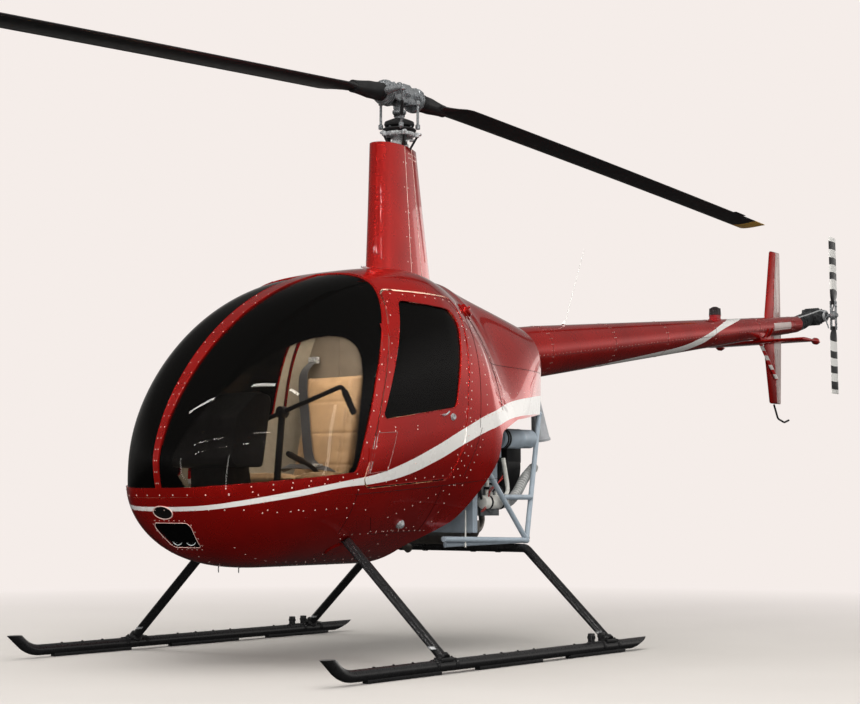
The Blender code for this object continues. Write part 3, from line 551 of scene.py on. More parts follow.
def rounded(corners, grow=0.0):
    """The outline (y, z, radius) as points, with its corners rounded and its sides moved out by grow."""
    count = len(corners)
    places = [Vector((y, z)) for y, z, _ in corners]
    turn = sum(a.x * b.y - a.y * b.x for a, b in zip(places, places[1:] + places[:1]))
    side = 1.0 if turn > 0 else -1.0
    normals = []
    for i in range(count):
        along = (places[(i + 1) % count] - places[i]).normalized()
        normals.append(Vector((along.y, -along.x)) * side)
    points = []
    for i, (_, _, radius) in enumerate(corners):
        before, after = normals[i - 1], normals[i]
        half = before.angle(after) / 2
        middle = (before + after).normalized()
        corner = places[i] + middle * (grow / math.cos(half))
        cross = (before.x * after.y - before.y * after.x) * side
        bend = max(radius + grow, 0.0) if cross > 0 else max(radius - grow, 0.0)
        if radius == 0.0 or bend < 1e-4 or half < 0.02:
            points.append(corner)
            continue
        inward = -1.0 if cross > 0 else 1.0
        centre = corner + middle * (inward * bend / math.cos(half))
        pieces = max(1, math.ceil(2 * half / ARC_STEP))
        for k in range(pieces + 1):
            blend = (k / pieces) * 2 * half - half
            ray = Matrix.Rotation(blend * (1 if cross * side > 0 else -1), 2) @ middle
            points.append(centre - ray * (inward * bend))
    return points


def divided(outline, longest):
    """The closed outline with its long sides divided into equal parts no longer than longest."""
    points = []
    for start, end in zip(outline, outline[1:] + outline[:1]):
        parts = max(1, math.ceil((end - start).length / longest))
        points += [start.lerp(end, k / parts) for k in range(parts)]
    return points


# The pod's skin as formulas, the same as the solids'

def ease(y, start, end):
    """0 before start and 1 after end, with a smooth rise between them."""
    part = np.clip((y - start) / (end - start), 0.0, 1.0)
    return part * part * (3 - 2 * part)


def pod_profile(y, inset=0.0):
    """Roof, belly, half width and widest height of the pod at y, with its section's two powers."""
    y = np.asarray(y, float)
    nose = NOSE_Y + inset

    def quarter(end, power, root):
        part = np.clip((end - y) / (end - nose), 0.0, 1.0)
        return np.maximum(1.0 - part**power, 0.0) ** (1.0 / root)

    aft = np.maximum(y - FAIRING_END_Y, 0.0) / (COWL_END_Y - FAIRING_END_Y)
    narrow = np.maximum(y, 0.0) / COWL_END_Y
    back = np.clip((y - NOSE_Y) / (-0.3 - NOSE_Y), 0.0, 1.0)
    roof = NOSE_Z + (ROOF_Z - inset - NOSE_Z) * quarter(ROOF_LEVEL_Y, 2.13, 1.52) - COWL_DROP * aft**0.93
    belly = NOSE_Z - (NOSE_Z - BELLY_Z - inset) * quarter(BELLY_LEVEL_Y, 2.62, 1.84)
    width = (HALF_WIDTH - inset) * quarter(FULL_WIDTH_Y, 2.06, 2.32) - COWL_TAPER * narrow**1.3
    tent = ease(y, SHOULDER_Y, TENT_Y)
    widest = 0.76 + 0.29 * back - 0.08 * tent + 0.41 * aft**1.3
    depth = roof - belly
    widest = np.minimum(np.maximum(widest, belly + 0.3 * depth), roof - 0.2 * depth)
    top_power = 2.3 + 1.3 * back - 1.95 * tent + 0.55 * ease(y, TENT_Y, COWL_END_Y)
    return roof, belly, width, widest, top_power, 2.45 - 0.3 * back


def pod_value(points, inset=0.0):
    """Below 1 inside the pod's section at each point and above 1 outside it."""
    x, y, z = np.asarray(points, float).T
    roof, belly, width, widest, top_power, low_power = pod_profile(y, inset)
    above = z > widest
    power = np.where(above, top_power, low_power)
    height = np.maximum(np.where(above, roof - widest, widest - belly), 1e-6)
    across = np.abs(x) / np.maximum(width, 1e-6)
    return (across**power + (np.abs(z - widest) / height) ** power) ** (1 / power)


def pod_normals(points, inset=0.0):
    """The skin's normals at each point, and how far outside the skin the point is."""
    step = 2e-4
    points = np.asarray(points, float).reshape(-1, 3)
    slope = np.zeros_like(points)
    for axis in range(3):
        shift = np.zeros(3)
        shift[axis] = step
        slope[:, axis] = pod_value(points + shift, inset) - pod_value(points - shift, inset)
    size = np.maximum(np.linalg.norm(slope, axis=1, keepdims=True), 1e-12)
    return slope / size, (pod_value(points, inset) - 1.0) / size[:, 0] * 2 * step


def on_skin(starts, direction, lift=0.0):
    """Where rays from inside the pod meet its skin, moved out by lift, and the skin's normals there."""
    starts = np.asarray(starts, float).reshape(-1, 3)
    direction = np.asarray(direction, float)
    low = np.zeros(len(starts))
    high = np.full(len(starts), 1.2)
    for _ in range(40):
        middle = (low + high) / 2
        spots = starts + direction * middle[:, None]
        inside = (pod_value(spots) < 1.0) & (spots[:, 1] >= NOSE_Y)
        low = np.where(inside, middle, low)
        high = np.where(inside, high, middle)
    spots = starts + direction * low[:, None]
    normals, _ = pod_normals(spots)
    return spots + normals * lift, normals


def skin_side(outline, side, lift=0.0):
    """Points on the skin at places (y, z) seen from one side."""
    return on_skin([(0.0, p[0], p[1]) for p in outline], (side, 0, 0), lift)


def skin_front(outline, lift=0.0):
    """Points on the skin at places (x, z) seen from the front."""
    return on_skin([(p[0], -0.7, p[1]) for p in outline], (0, -1, 0), lift)


def skin_below(outline, lift=0.0):
    """Points on the skin at places (x, y) seen from below."""
    return on_skin([(p[0], p[1], 0.80) for p in outline], (0, 0, -1), lift)


def skin_above(outline, lift=0.0):
    """Points on the skin at places (x, y) seen from above."""
    return on_skin([(p[0], p[1], 1.20) for p in outline], UP, lift)


def first_of(found):
    """The first of the spots that a skin function found, and its normal."""
    spots, normals = found
    return Vector(spots[0]), Vector(normals[0])


def new_object(name, shape):
    """A helper object, for Boolean work only."""
    bmesh.ops.recalc_face_normals(shape, faces=shape.faces)
    mesh = bpy.data.meshes.new(name)
    shape.to_mesh(mesh)
    shape.free()
    return in_scene(name, mesh)


def shape_of(made):
    """A helper object's shape as a bmesh. The object is removed."""
    shape = bmesh.new()
    shape.from_mesh(made.data)
    bpy.data.objects.remove(made, do_unlink=True)
    return shape


def solid(name, rings):
    """A helper object with a skin through rings."""
    shape = bmesh.new()
    loft_into(shape, rings)
    return new_object(name, shape)


def pod_solid(inset, end=COWL_END_Y, nose_rings=70, aft_rings=46):
    """The whole pod as a helper object, its skin moved in by inset."""
    nose = NOSE_Y + inset
    shares = [1 - math.cos(math.pi / 2 * (k + 0.25) / nose_rings) for k in range(nose_rings)]
    places = [nose + (ROOF_LEVEL_Y - nose) * share for share in shares]
    places += [ROOF_LEVEL_Y + (end - ROOF_LEVEL_Y) * k / aft_rings for k in range(aft_rings + 1)]
    angles = 2 * math.pi * (np.arange(POD_SIDES) + 0.5) / POD_SIDES
    across, rise = np.cos(angles), np.sin(angles)
    rings = []
    for y in places:
        roof, belly, width, widest, top_power, low_power = pod_profile(y, inset)
        power = np.where(rise > 0, top_power, low_power)
        height = np.where(rise > 0, roof - widest, belly - widest)
        x = width * np.sign(across) * np.abs(across) ** (2 / power)
        z = widest + height * np.abs(rise) ** (2 / power)
        rings.append([(a, y, b) for a, b in zip(x, z)])
    return solid("pod", rings)


def combine(target, others, operation):
    """Cuts the target by the others, or keeps what they share. The others are removed."""
    for other in others:
        change = target.modifiers.new("combine", "BOOLEAN")
        change.object = other
        change.operation = operation
        change.solver = "MANIFOLD"
    bpy.context.view_layer.update()
    graph = bpy.context.evaluated_depsgraph_get()
    result = bpy.data.meshes.new_from_object(target.evaluated_get(graph))
    target.modifiers.clear()
    target.data = result
    for other in others:
        bpy.data.objects.remove(other, do_unlink=True)
    return target


def cut(target, *others):
    return combine(target, others, "DIFFERENCE")


def keep(target, *others):
    return combine(target, others, "INTERSECT")


def copy_of(source):
    return in_scene("copy", source.data.copy())


def prism(outline, inner, outer):
    """A solid with an outline of (y, z), between two values of x or two functions of z that give x."""
    near = inner if callable(inner) else lambda z: inner
    far = outer if callable(outer) else lambda z: outer
    return solid("prism", [
        [(near(p[1]), p[0], p[1]) for p in outline],
        [(far(p[1]), p[0], p[1]) for p in outline],
    ])


def bow_edge(z):
    """Half the width of the nose bow between the windshields at a height."""
    rise = min(max((z - 0.85) / 0.80, 0.0), 1.0)
    return BOW_HALF_WIDTH_LOW + (BOW_HALF_WIDTH_HIGH - BOW_HALF_WIDTH_LOW) * rise


def pane_block(grow, side):
    """What a windshield fills, its sides moved out by grow."""
    outline = divided(rounded(WINDSHIELD, grow), 0.03)
    return prism(outline, lambda z: side * (bow_edge(z) - grow), side * 1.0)


def door_block(corners, grow, side):
    """What lies on one side of the pod inside an outline, its sides moved out by grow."""
    return prism(rounded(corners, grow), side * 0.2, side * 1.0)


def door_wedge(side):
    """The door's outline, narrower on the inside, as the solid door has it."""
    reach = 0.050
    parts = divided(rounded(DOOR), 0.02)
    skin = [abs(spot[0]) for spot in skin_side(parts, 1)[0]]
    rows = []
    for grow, offset in ((-1, None), (-1, -reach), (1, reach), (1, None)):
        outline = [move_out(parts, i, grow * reach * EDGE_SLOPE) for i in range(len(parts))]
        if offset is None:
            out = [0.2 if grow < 0 else 1.0] * len(parts)
        else:
            out = [x + offset for x in skin]
        rows.append([(side * x, p.x, p.y) for p, x in zip(outline, out)])
    return solid("wedge", rows)


def move_out(outline, i, distance):
    """A point of a closed outline moved outwards, square to the outline there."""
    before, after = outline[i - 1], outline[(i + 1) % len(outline)]
    along = (after - before).normalized()
    turn = sum(a.x * b.y - a.y * b.x for a, b in zip(outline, outline[1:] + outline[:1]))
    return outline[i] + Vector((along.y, -along.x)) * (distance if turn > 0 else -distance)


def lamp_block(grow):
    """What lies at the nose inside the outline of the lamp window, its sides moved out by grow."""
    outline = rounded(LAMP_WINDOW, grow)
    return solid("lamp", [[(x, y, z) for x, z in outline] for y in (-1.70, -1.30)])


def dress_skin(made, insets):
    """Gives faces that lie on the pod's skin, or inset from it, the exact normals of that skin."""
    mesh = made.data
    count = len(mesh.vertices)
    spots = np.zeros(count * 3)
    mesh.vertices.foreach_get("co", spots)
    spots = spots.reshape(-1, 3)
    spots[:, 1] -= REAR_SHIFT
    corner_vert = np.zeros(len(mesh.loops), int)
    mesh.loops.foreach_get("vertex_index", corner_vert)
    totals = np.zeros(len(mesh.polygons), int)
    mesh.polygons.foreach_get("loop_total", totals)
    face_of = np.repeat(np.arange(len(totals)), totals)
    flat = np.zeros(len(mesh.polygons) * 3)
    mesh.polygons.foreach_get("normal", flat)
    flat = flat.reshape(-1, 3)
    normals = flat[face_of]
    inner = np.zeros(len(totals), bool)
    for inset in insets:
        exact, away = pod_normals(spots, inset)
        near = np.abs(away) < 0.0009
        whole = np.ones(len(totals), bool)
        np.logical_and.at(whole, face_of, near[corner_vert])
        facing = np.einsum("ij,ij->i", exact[corner_vert], flat[face_of])
        use = whole[face_of] & (np.abs(facing) > 0.6)
        if inset == SKIN:
            np.logical_or.at(inner, face_of, use)
        turned = exact[corner_vert] * np.sign(facing)[:, None]
        normals = np.where(use[:, None], turned, normals)
    mesh.normals_split_custom_set([tuple(n) for n in normals])
    if inner.any():
        mesh.materials.append(MATERIALS["cabin_lining"])
        mesh.polygons.foreach_set("material_index", inner.astype(np.int32))


# The pod: panels, doors, glass

def skin_piece(made, name, body, material, replaces, insets):
    """Finishes a piece cut from the pod's shell."""
    shape = shape_of(made)
    bmesh.ops.remove_doubles(shape, verts=shape.verts, dist=0.00005)
    bmesh.ops.dissolve_degenerate(shape, edges=shape.edges, dist=0.00003)
    dress_skin(piece(name, shape, body, material, replaces, smooth=None), insets)


def build_pod():
    """The tub, the cabin frame, the cowling, the doors and all the glass, cut from shells of the pod."""
    outer = pod_solid(0.0)
    shell = cut(copy_of(outer), pod_solid(SKIN, COWL_END_Y + 0.05))
    insets = (0.0, SKIN)
    seam = list(TUB_SEAM)
    below = seam + [(0.300, 0.200), (-1.700, 0.200)]
    above = [(y, z + GAP) for y, z in seam] + [(0.300, 1.900), (-1.700, 1.900)]
    bay = rounded(BAY_EDGE)

    tub = keep(copy_of(shell), prism(below, -1, 1))
    cut(tub, prism(bay, -1, 1), lamp_block(0.0))
    skin_piece(tub, "body_tub", "root", "pod_paint", "cabin_tub", insets)

    front = ((-1.700, 0.200), (FIREWALL_Y, 0.200), (FIREWALL_Y, 1.950), (-1.700, 1.950))
    upper = keep(copy_of(shell), prism(above, -1, 1), prism(front, -1.1, 1.1))
    cut(upper, prism(bay, -1, 1))
    for side, _ in SIDES:
        cut(upper, pane_block(0.0, side), door_block(DOOR, DOOR_GAP, side))
    skin_piece(upper, "body_frame", "root", "pod_paint", "cabin_frame", insets)

    cowl_side = ((FIREWALL_Y + GAP, 0.2), (0.9, 0.2), (0.9, 1.9), (FIREWALL_Y + GAP, 1.9))
    cowl = keep(copy_of(shell), prism(cowl_side, -1, 1))
    cut(cowl, prism(bay, -1, 1))
    skin_piece(cowl, "body_cowling", "root", "pod_paint", "rear_cowling", insets)

    glass_insets = (GLASS_INSET, GLASS_INSET + GLASS)
    glass = cut(pod_solid(GLASS_INSET), pod_solid(GLASS_INSET + GLASS, COWL_END_Y + 0.05))
    lens_shell = cut(pod_solid(0.001), pod_solid(0.004, COWL_END_Y + 0.05))
    lens = keep(lens_shell, lamp_block(-GAP))
    skin_piece(lens, "light_window", "root", "clear_lens", "lamp_lens", (0.001, 0.004))
    for side, word in SIDES:
        body = word + "_door"
        pane = keep(copy_of(glass), pane_block(-GAP, side))
        skin_piece(pane, "glass_front_" + word, "root", "tinted_glass",
                   "windshield_" + word, glass_insets)
        door = keep(copy_of(shell), door_wedge(side))
        cut(door, door_block(DOOR_WINDOW, 0.0, side))
        skin_piece(door, "door_panel_" + word, body, "pod_paint", "door_" + word, insets)
        light = keep(copy_of(glass), door_block(DOOR_WINDOW, -GAP, side))
        skin_piece(light, "glass_door_" + word, body, "tinted_glass",
                   "door_window_" + word, glass_insets)
    for used in (outer, shell, glass):
        bpy.data.objects.remove(used, do_unlink=True)


# Rivets, seams and beads that follow the skin

def spaced(outline, gap, closed=False):
    """Points at even steps along a line of 2-D points."""
    points = [Vector(p[:2]) for p in outline]
    if closed:
        points.append(points[0])
    lengths = [(b - a).length for a, b in zip(points, points[1:])]
    total = sum(lengths)
    count = max(1, round(total / gap))
    out = []
    for k in range(count if closed else count + 1):
        along = total * k / count
        for i, length in enumerate(lengths):
            if along <= length + 1e-9 or i == len(lengths) - 1:
                out.append(points[i].lerp(points[i + 1], min(along / max(length, 1e-9), 1.0)))
                break
            along -= length
    return out


def rivet_into(shape, spots, normals, radius=0.0033, height=0.0012):
    """Low round heads, one at each spot."""
    for spot, normal in zip(spots, normals):
        lathe_into(shape, Vector(spot) - Vector(normal) * 0.0006, normal,
                   ((0, radius), (0.0006 + height * 0.45, radius * 0.9),
                    (0.0006 + height, radius * 0.4)), 8)


# Rows of rivets on each side, (y, z) from start to end, and their spacing
SIDE_RIVETS = (
    ((-1.420, 0.716), (-0.930, 0.775), 0.072),
    ((-1.300, 0.640), (-0.930, 0.660), 0.055),
    ((-0.893, 0.735), (-0.905, 0.620), 0.050),
    ((-0.280, 0.760), (-0.205, 0.940), 0.042),
    ((-0.205, 0.940), (-0.118, 1.590), 0.040),
    ((-0.240, 0.760), (-0.175, 0.935), 0.042),
    ((-0.060, 1.080), (-0.020, 1.540), 0.046),
    ((-0.180, 1.045), (0.110, 1.110), 0.034),
    ((-0.190, 0.760), (-0.080, 1.000), 0.040),
    ((-0.640, 0.620), (-0.310, 0.735), 0.048),
    ((-0.700, 0.560), (-0.330, 0.560), 0.042),
    ((-0.300, 0.560), (-0.250, 0.760), 0.045),
    ((0.040, 1.130), (0.240, 1.175), 0.060),
    ((0.120, 1.240), (0.120, 1.600), 0.060),
    ((0.180, 1.190), (0.690, 1.236), 0.085),
)
# Rows on the nose seen from the front, (x, z)
FRONT_RIVETS = (
    ((-0.500, 0.652), (0.500, 0.652), 0.055),
    ((-0.380, 0.712), (0.380, 0.712), 0.076),
)
# Rows under the belly, (x, y)
BELLY_RIVETS = (
    ((-0.420, -0.860), (-0.420, -0.400), 0.050),
    ((0.420, -0.860), (0.420, -0.400), 0.050),
    ((-0.400, -0.860), (0.400, -0.860), 0.050),
    ((-0.400, -0.560), (0.400, -0.560), 0.050),
    ((0.0, -1.350), (0.0, -0.400), 0.060),
    ((-0.220, -1.300), (-0.220, -0.400), 0.060),
    ((0.220, -1.300), (0.220, -0.400), 0.060),
)


# Single rivets on each door, (y, z)
DOOR_RIVETS = (
    (-0.705, 1.000),
    (-0.705, 0.985),
    (-0.560, 1.012),
    (-0.560, 0.997),
    (-0.740, 0.830),
    (-0.660, 0.838),
    (-0.560, 0.850),
    (-0.460, 0.860),
)


def build_rivets():
    """Rows of rivets on the pod's skin and on the doors, pale pink as painted highlights."""
    shape = bmesh.new()
    for side, _ in SIDES:
        for start, end, gap in SIDE_RIVETS:
            rivet_into(shape, *skin_side(spaced((start, end), gap), side))
        edge = rounded(WINDSHIELD, 0.013)
        post = [p for p in edge if -0.93 < p.x < -0.66 and 0.80 < p.y < 1.66]
        rivet_into(shape, *skin_side(spaced(post, 0.068), side))
        sill = [p for p in spaced(edge, 0.075, True) if p.x < -0.95 and p.y < 0.82]
        rivet_into(shape, *skin_side([p for p in sill if p.x > -1.44], side))
        bow = [(side * (bow_edge(z) - 0.007), z) for z in (0.76 + 0.046 * k for k in range(20))]
        rivet_into(shape, *skin_front([p for p in bow if p[1] < 1.60]), radius=0.0024)
    for start, end, gap in FRONT_RIVETS:
        rivet_into(shape, *skin_front(spaced((start, end), gap)))
    for start, end, gap in BELLY_RIVETS:
        rivet_into(shape, *skin_below(spaced((start, end), gap)))
    piece("rivets_body", shape, "root", "painted_highlight_pink", smooth=60)
    for side, word in SIDES:
        shape = bmesh.new()
        rivet_into(shape, *skin_side(spaced(rounded(DOOR, -0.014), 0.066, True), side))
        rivet_into(shape, *skin_side(DOOR_RIVETS, side))
        piece("rivets_door_" + word, shape, word + "_door", "painted_highlight_pink", smooth=60)


BEAD_SIDES = 6


def build_beads():
    """Rounded edges of the panels round the glass and the doors, which catch the light."""
    shape = bmesh.new()
    radius = 0.0017
    for side, _ in SIDES:
        edge = divided(rounded(WINDSHIELD, 0.0008), 0.012)
        post = [p for p in edge if 0.80 <= p.y < 1.70 and p.x > -0.95]
        tube_into(shape, skin_side(post, side)[0], radius, BEAD_SIDES)
        sill = [(y, 0.806 + (y + 0.918) * 0.108) for y in (-0.93 - 0.0105 * k for k in range(53))]
        spots, _ = skin_side(sill, side)
        least = bow_edge(0.74) + 0.004
        tube_into(shape, [spot for spot in spots if abs(spot[0]) > least], radius, BEAD_SIDES)
        bow = [(side * bow_edge(z), z) for z in (0.735 + 0.0125 * k for k in range(74))]
        tube_into(shape, skin_front(bow)[0], radius, BEAD_SIDES)
        opening = divided(rounded(DOOR, DOOR_GAP + 0.001), 0.015)
        tube_into(shape, skin_side(opening, side)[0], 0.0012, BEAD_SIDES, closed=True)
    piece("edge_beads", shape, "root", "pod_paint", smooth=60)
    for side, word in SIDES:
        shape = bmesh.new()
        for corners, grow in ((DOOR, -0.001), (DOOR_WINDOW, 0.0010)):
            edge = divided(rounded(corners, grow), 0.015)
            tube_into(shape, skin_side(edge, side)[0], 0.0015, BEAD_SIDES, closed=True)
        piece("door_beads_" + word, shape, word + "_door", "pod_paint", smooth=60)


# Fittings on the pod

# The middle of the air inlet in the nose
VENT_X = -0.014
VENT_Z = 0.642

def build_fittings():
    """Fuel caps, drains, small fittings, the nose vent and the shrouds of the front legs."""
    shape = bmesh.new()
    for side, _ in SIDES:
        base, out = first_of(skin_above([(side * 0.385, 0.012)]))
        cap = ((0, 0.047), (0.008, 0.047), (0.010, 0.044), (0.010, 0.036), (0.024, 0.034),
               (0.028, 0.030), (0.028, 0))
        lathe_into(shape, base - out * 0.004, out, cap, 32)
        turn = out.to_track_quat("Z", "Y").to_matrix()
        bar = base + out * 0.030
        half = Vector((0.026, 0.006, 0.006))
        box_into(shape, bar - half, bar + half, 0.002, turn)
    piece("fuel_caps", shape, "root", "plain_paint")

    # Drains under the belly, a button on each side, and a probe on the nose of the mast's cover
    shape = bmesh.new()
    for x, y in ((-0.06, -1.12), (-0.06, -1.00)):
        base, _ = first_of(skin_below([(x, y)]))
        tube_into(shape, (base + UP * 0.003, base - UP * 0.026), 0.0025, 10)
    button = ((0, 0.022), (0.004, 0.022), (0.012, 0.017), (0.020, 0.010), (0.021, 0))
    for side, _ in SIDES:
        base, out = first_of(skin_side([(-0.520, 0.590)], side))
        lathe_into(shape, base - out * 0.002, out, button, 24)
    probe = ((0, -0.212, 1.778), (0, -0.228, 1.782), (0, -0.275, 1.784))
    tube_into(shape, smooth_path(probe, 5), 0.0045, 12)
    lathe_into(shape, (0, -0.240, 1.783), (0, -1, 0.02), ((0, 0.006), (0.012, 0.007), (0.020, 0.005)), 14)
    piece("small_fittings", shape, "root", "bare_metal")

    # The air inlet in the nose: a black oval on the skin, painted shade for the opening, with a pale pink
    # rim as a painted highlight
    angles = [2 * math.pi * k / 36 for k in range(36)]

    def oval(half_width, half_height, lift):
        places = [(VENT_X + half_width * math.cos(a), VENT_Z + half_height * math.sin(a)) for a in angles]
        return [Vector(spot) for spot in skin_front(places, lift)[0]]

    shape = bmesh.new()
    rim = bmesh.new()
    tube_into(rim, oval(0.056, 0.026, 0.0012), 0.0022, 8, closed=True)
    edge = oval(0.055, 0.025, 0.0008)
    centre, _ = first_of(skin_front([(VENT_X, VENT_Z)], 0.0006))
    loft_into(shape, [[centre.lerp(p, share) for p in edge] for share in (1.0, 0.5, 0.02)], capped=False)
    piece("nose_vent", shape, "root", "painted_shade_black")
    piece("nose_vent_rim", rim, "root", "painted_highlight_pink")

    # The shrouds where the front legs enter the belly
    shape = bmesh.new()
    for side, _ in SIDES:
        rows = []
        for grow, lift in ((0.010, 0.0004), (0.008, 0.003), (0.003, 0.006), (0.0, 0.007)):
            outline = [(side * (0.336 + (0.034 + grow) * math.cos(a)),
                        -0.819 + (0.046 + grow) * math.sin(a)) for a in angles]
            rows.append([Vector(spot) for spot in skin_below(outline, lift)[0]])
        loft_into(shape, rows, capped=False)
        last = rows[-1]
        middle = sum(last, Vector()) / len(last)
        loft_into(shape, [last, [middle.lerp(p, 0.02) for p in last]], capped=False)
    piece("leg_shrouds", shape, "root", "plain_paint")


def build_door_fittings():
    """Hinges, latch levers and locks of the two doors, and their seals."""
    for side, word in SIDES:
        body = word + "_door"
        on_door = bmesh.new()
        on_frame = bmesh.new()
        for y, z in ((-0.703, 1.418), (-0.856, 0.880)):
            pin, _ = skin_side([(y, z - 0.030), (y, z + 0.030)], side, lift=0.0035)
            tube_into(on_frame, pin, 0.0042, 10)
            for shift, target in ((-0.018, on_frame), (0.018, on_door)):
                leaf_y = y + shift * 1.1
                corners = [(leaf_y + a, z + b)
                           for a, b in ((-0.013, -0.026), (0.013, -0.026), (0.013, 0.026), (-0.013, 0.026))]
                loft_into(target, [[Vector(p) for p in skin_side(corners, side, lift)[0]]
                                   for lift in (0.0001, 0.0022)])
                rivet_into(target, *skin_side([(leaf_y, z - 0.017), (leaf_y, z), (leaf_y, z + 0.017)],
                                              side, 0.0020))
        piece("hinge_halves_" + word, on_door, body, "plain_paint")
        piece("hinge_roots_" + word, on_frame, "root", "plain_paint")

        shape = bmesh.new()
        base, out = first_of(skin_side([(-0.315, 1.060)], side))
        lock = ((0, 0.016), (0.003, 0.016), (0.006, 0.013), (0.010, 0.0125), (0.011, 0.011),
                (0.0085, 0.006), (0.0085, 0))
        lathe_into(shape, base - out * 0.001, out, lock, 28)
        lever, _ = skin_side([(-0.385, 1.066), (-0.368, 1.070), (-0.350, 1.082)], side, lift=0.008)
        tube_into(shape, smooth_path(lever, 5), 0.0038, 10)
        foot, out = first_of(skin_side([(-0.385, 1.066)], side))
        tube_into(shape, (foot, foot + out * 0.010), 0.0050, 12)
        piece("door_lock_" + word, shape, body, "bare_metal")

        # The outline of a plate behind the front post and two lines ahead of it, in bright pale metal:
        # painted highlights
        shape = bmesh.new()
        plate = [(-0.806, 0.974), (-0.694, 0.981), (-0.743, 0.816), (-0.848, 0.803)]
        edges = [(start, end, 0.0002, 0.0011) for start, end in zip(plate, plate[1:] + plate[:1])]
        edges += [((-0.823, 0.960), (-0.857, 0.800), 0.0004, 0.0016),
                  ((-0.811, 0.962), (-0.845, 0.802), 0.0004, 0.0016)]
        for start, end, lift, radius in edges:
            line = [Vector(start).lerp(Vector(end), k / 12) for k in range(13)]
            tube_into(shape, skin_side(line, side, lift)[0], radius, BEAD_SIDES)
        piece("door_plate_" + word, shape, body, "painted_highlight_silver")

        shape = bmesh.new()
        seal, _ = skin_side(divided(rounded(DOOR, DOOR_GAP - 0.0012), 0.02), side, lift=-0.0105)
        tube_into(shape, seal, 0.0022, 8, closed=True)
        piece("door_seal_" + word, shape, "root", "rubber_black")


# Panel lines on each side: lists of (y, z)
SEAMS = (
    ((-0.905, 0.716), (-0.300, 0.760), (0.060, 0.795)),
    ((-0.893, 0.745), (-0.905, 0.560)),
    ((-0.330, 0.760), (-0.345, 0.560), (-0.690, 0.548), (-0.760, 0.620)),
    ((-0.115, 1.020), (-0.070, 1.600)),
    ((FIREWALL_Y, 1.110), (FIREWALL_Y, 1.680)),
    ((FIREWALL_Y, 1.330), (0.740, 1.330)),
    ((-0.200, 0.800), (-0.100, 1.020)),
)


def build_seams():
    """Dark lines along the panels' edges."""
    shape = bmesh.new()
    for side, _ in SIDES:
        for line in SEAMS:
            points, _ = skin_side(spaced(line, 0.025), side, lift=0.0005)
            tube_into(shape, points, 0.0010, BEAD_SIDES)
    piece("panel_seams", shape, "root", "seam_dark", smooth=60)


# The mast and its fairing

def fairing_width(along, half_width):
    """Half the width of the mast fairing at a share of its length from its front."""
    return half_width * math.sin(math.pi * along**0.62) ** 0.75


def fairing_ring(front, rear, half_width, z):
    """A level section of the mast fairing."""
    ring = []
    for k in range(88):
        angle = 2 * math.pi * k / 88
        along = (1 - math.cos(angle)) / 2
        across = fairing_width(along, half_width) if 0 < along < 1 else 0.0
        ring.append(Vector((math.copysign(across, math.sin(angle)), front + (rear - front) * along, z)))
    return ring


def fairing_at(z):
    """Front, rear and half width of the mast fairing at a height."""
    for low, high in zip(FAIRING, FAIRING[1:]):
        if z <= high[3] or high is FAIRING[-1]:
            share = (z - low[3]) / (high[3] - low[3])
            return [a + (b - a) * share for a, b in zip(low[:3], high[:3])]


def fairing_side(share, z, side, lift=0.0):
    """A point on the side of the mast fairing, at a share of its length and a height."""
    front, rear, half_width = fairing_at(z)
    y = front + (rear - front) * share
    return Vector((side * (fairing_width((y - front) / (rear - front), half_width) + lift), y, z))


def build_fairing():
    """The mast's cover, with an open top, and its seams, rivets and the bead at its foot, these in pale
    pink as painted highlights.
    """
    shape = bmesh.new()
    low, high = FAIRING[0][3], FAIRING[2][3]
    levels = [low + (high - low) * k / 24 for k in range(25)]
    rings = [fairing_ring(*fairing_at(z), z) for z in levels]
    lip = [value + change for value, change in zip(fairing_at(levels[-1]), (0.002, -0.003, -0.002))]
    rings.append(fairing_ring(*lip, levels[-1] + 0.0015))
    for z in (levels[-1] + 0.0015, 2.30, 2.00, levels[0]):
        front, rear, half_width = fairing_at(min(z, levels[-1]))
        rings.append(fairing_ring(front + 0.006, rear - 0.020, half_width - 0.006, z))
    loft_into(shape, rings, capped=False)
    bmesh.ops.recalc_face_normals(shape, faces=shape.faces)
    piece("mast_cover", shape, "root", "plain_paint", "mast_fairing", smooth=50)

    trim = bmesh.new()
    foot, _ = skin_above([(p.x, p.y) for p in fairing_ring(-0.222, 0.242, 0.083, 0.0)], lift=0.0015)
    tube_into(trim, foot, 0.0045, 8, closed=True)
    for side, _ in SIDES:
        for share in (0.50, 0.74):
            tube_into(trim, [fairing_side(share, z, side, 0.0003) for z in levels], 0.0013, 6)
        for drop in (0.030, 0.052):
            for k in range(6):
                spot = fairing_side(0.62 + 0.055 * k, levels[-1] - drop, side)
                rivet_into(trim, [spot], [Vector((side, 0.15, 0))], 0.0035, 0.002)
        for z in (1.83, 1.95, 2.07, 2.19, 2.31):
            for share in (0.44, 0.53):
                rivet_into(trim, [fairing_side(share, z, side)], [Vector((side, 0.1, 0))])
    piece("mast_cover_trim", trim, "root", "painted_highlight_pink", smooth=60)


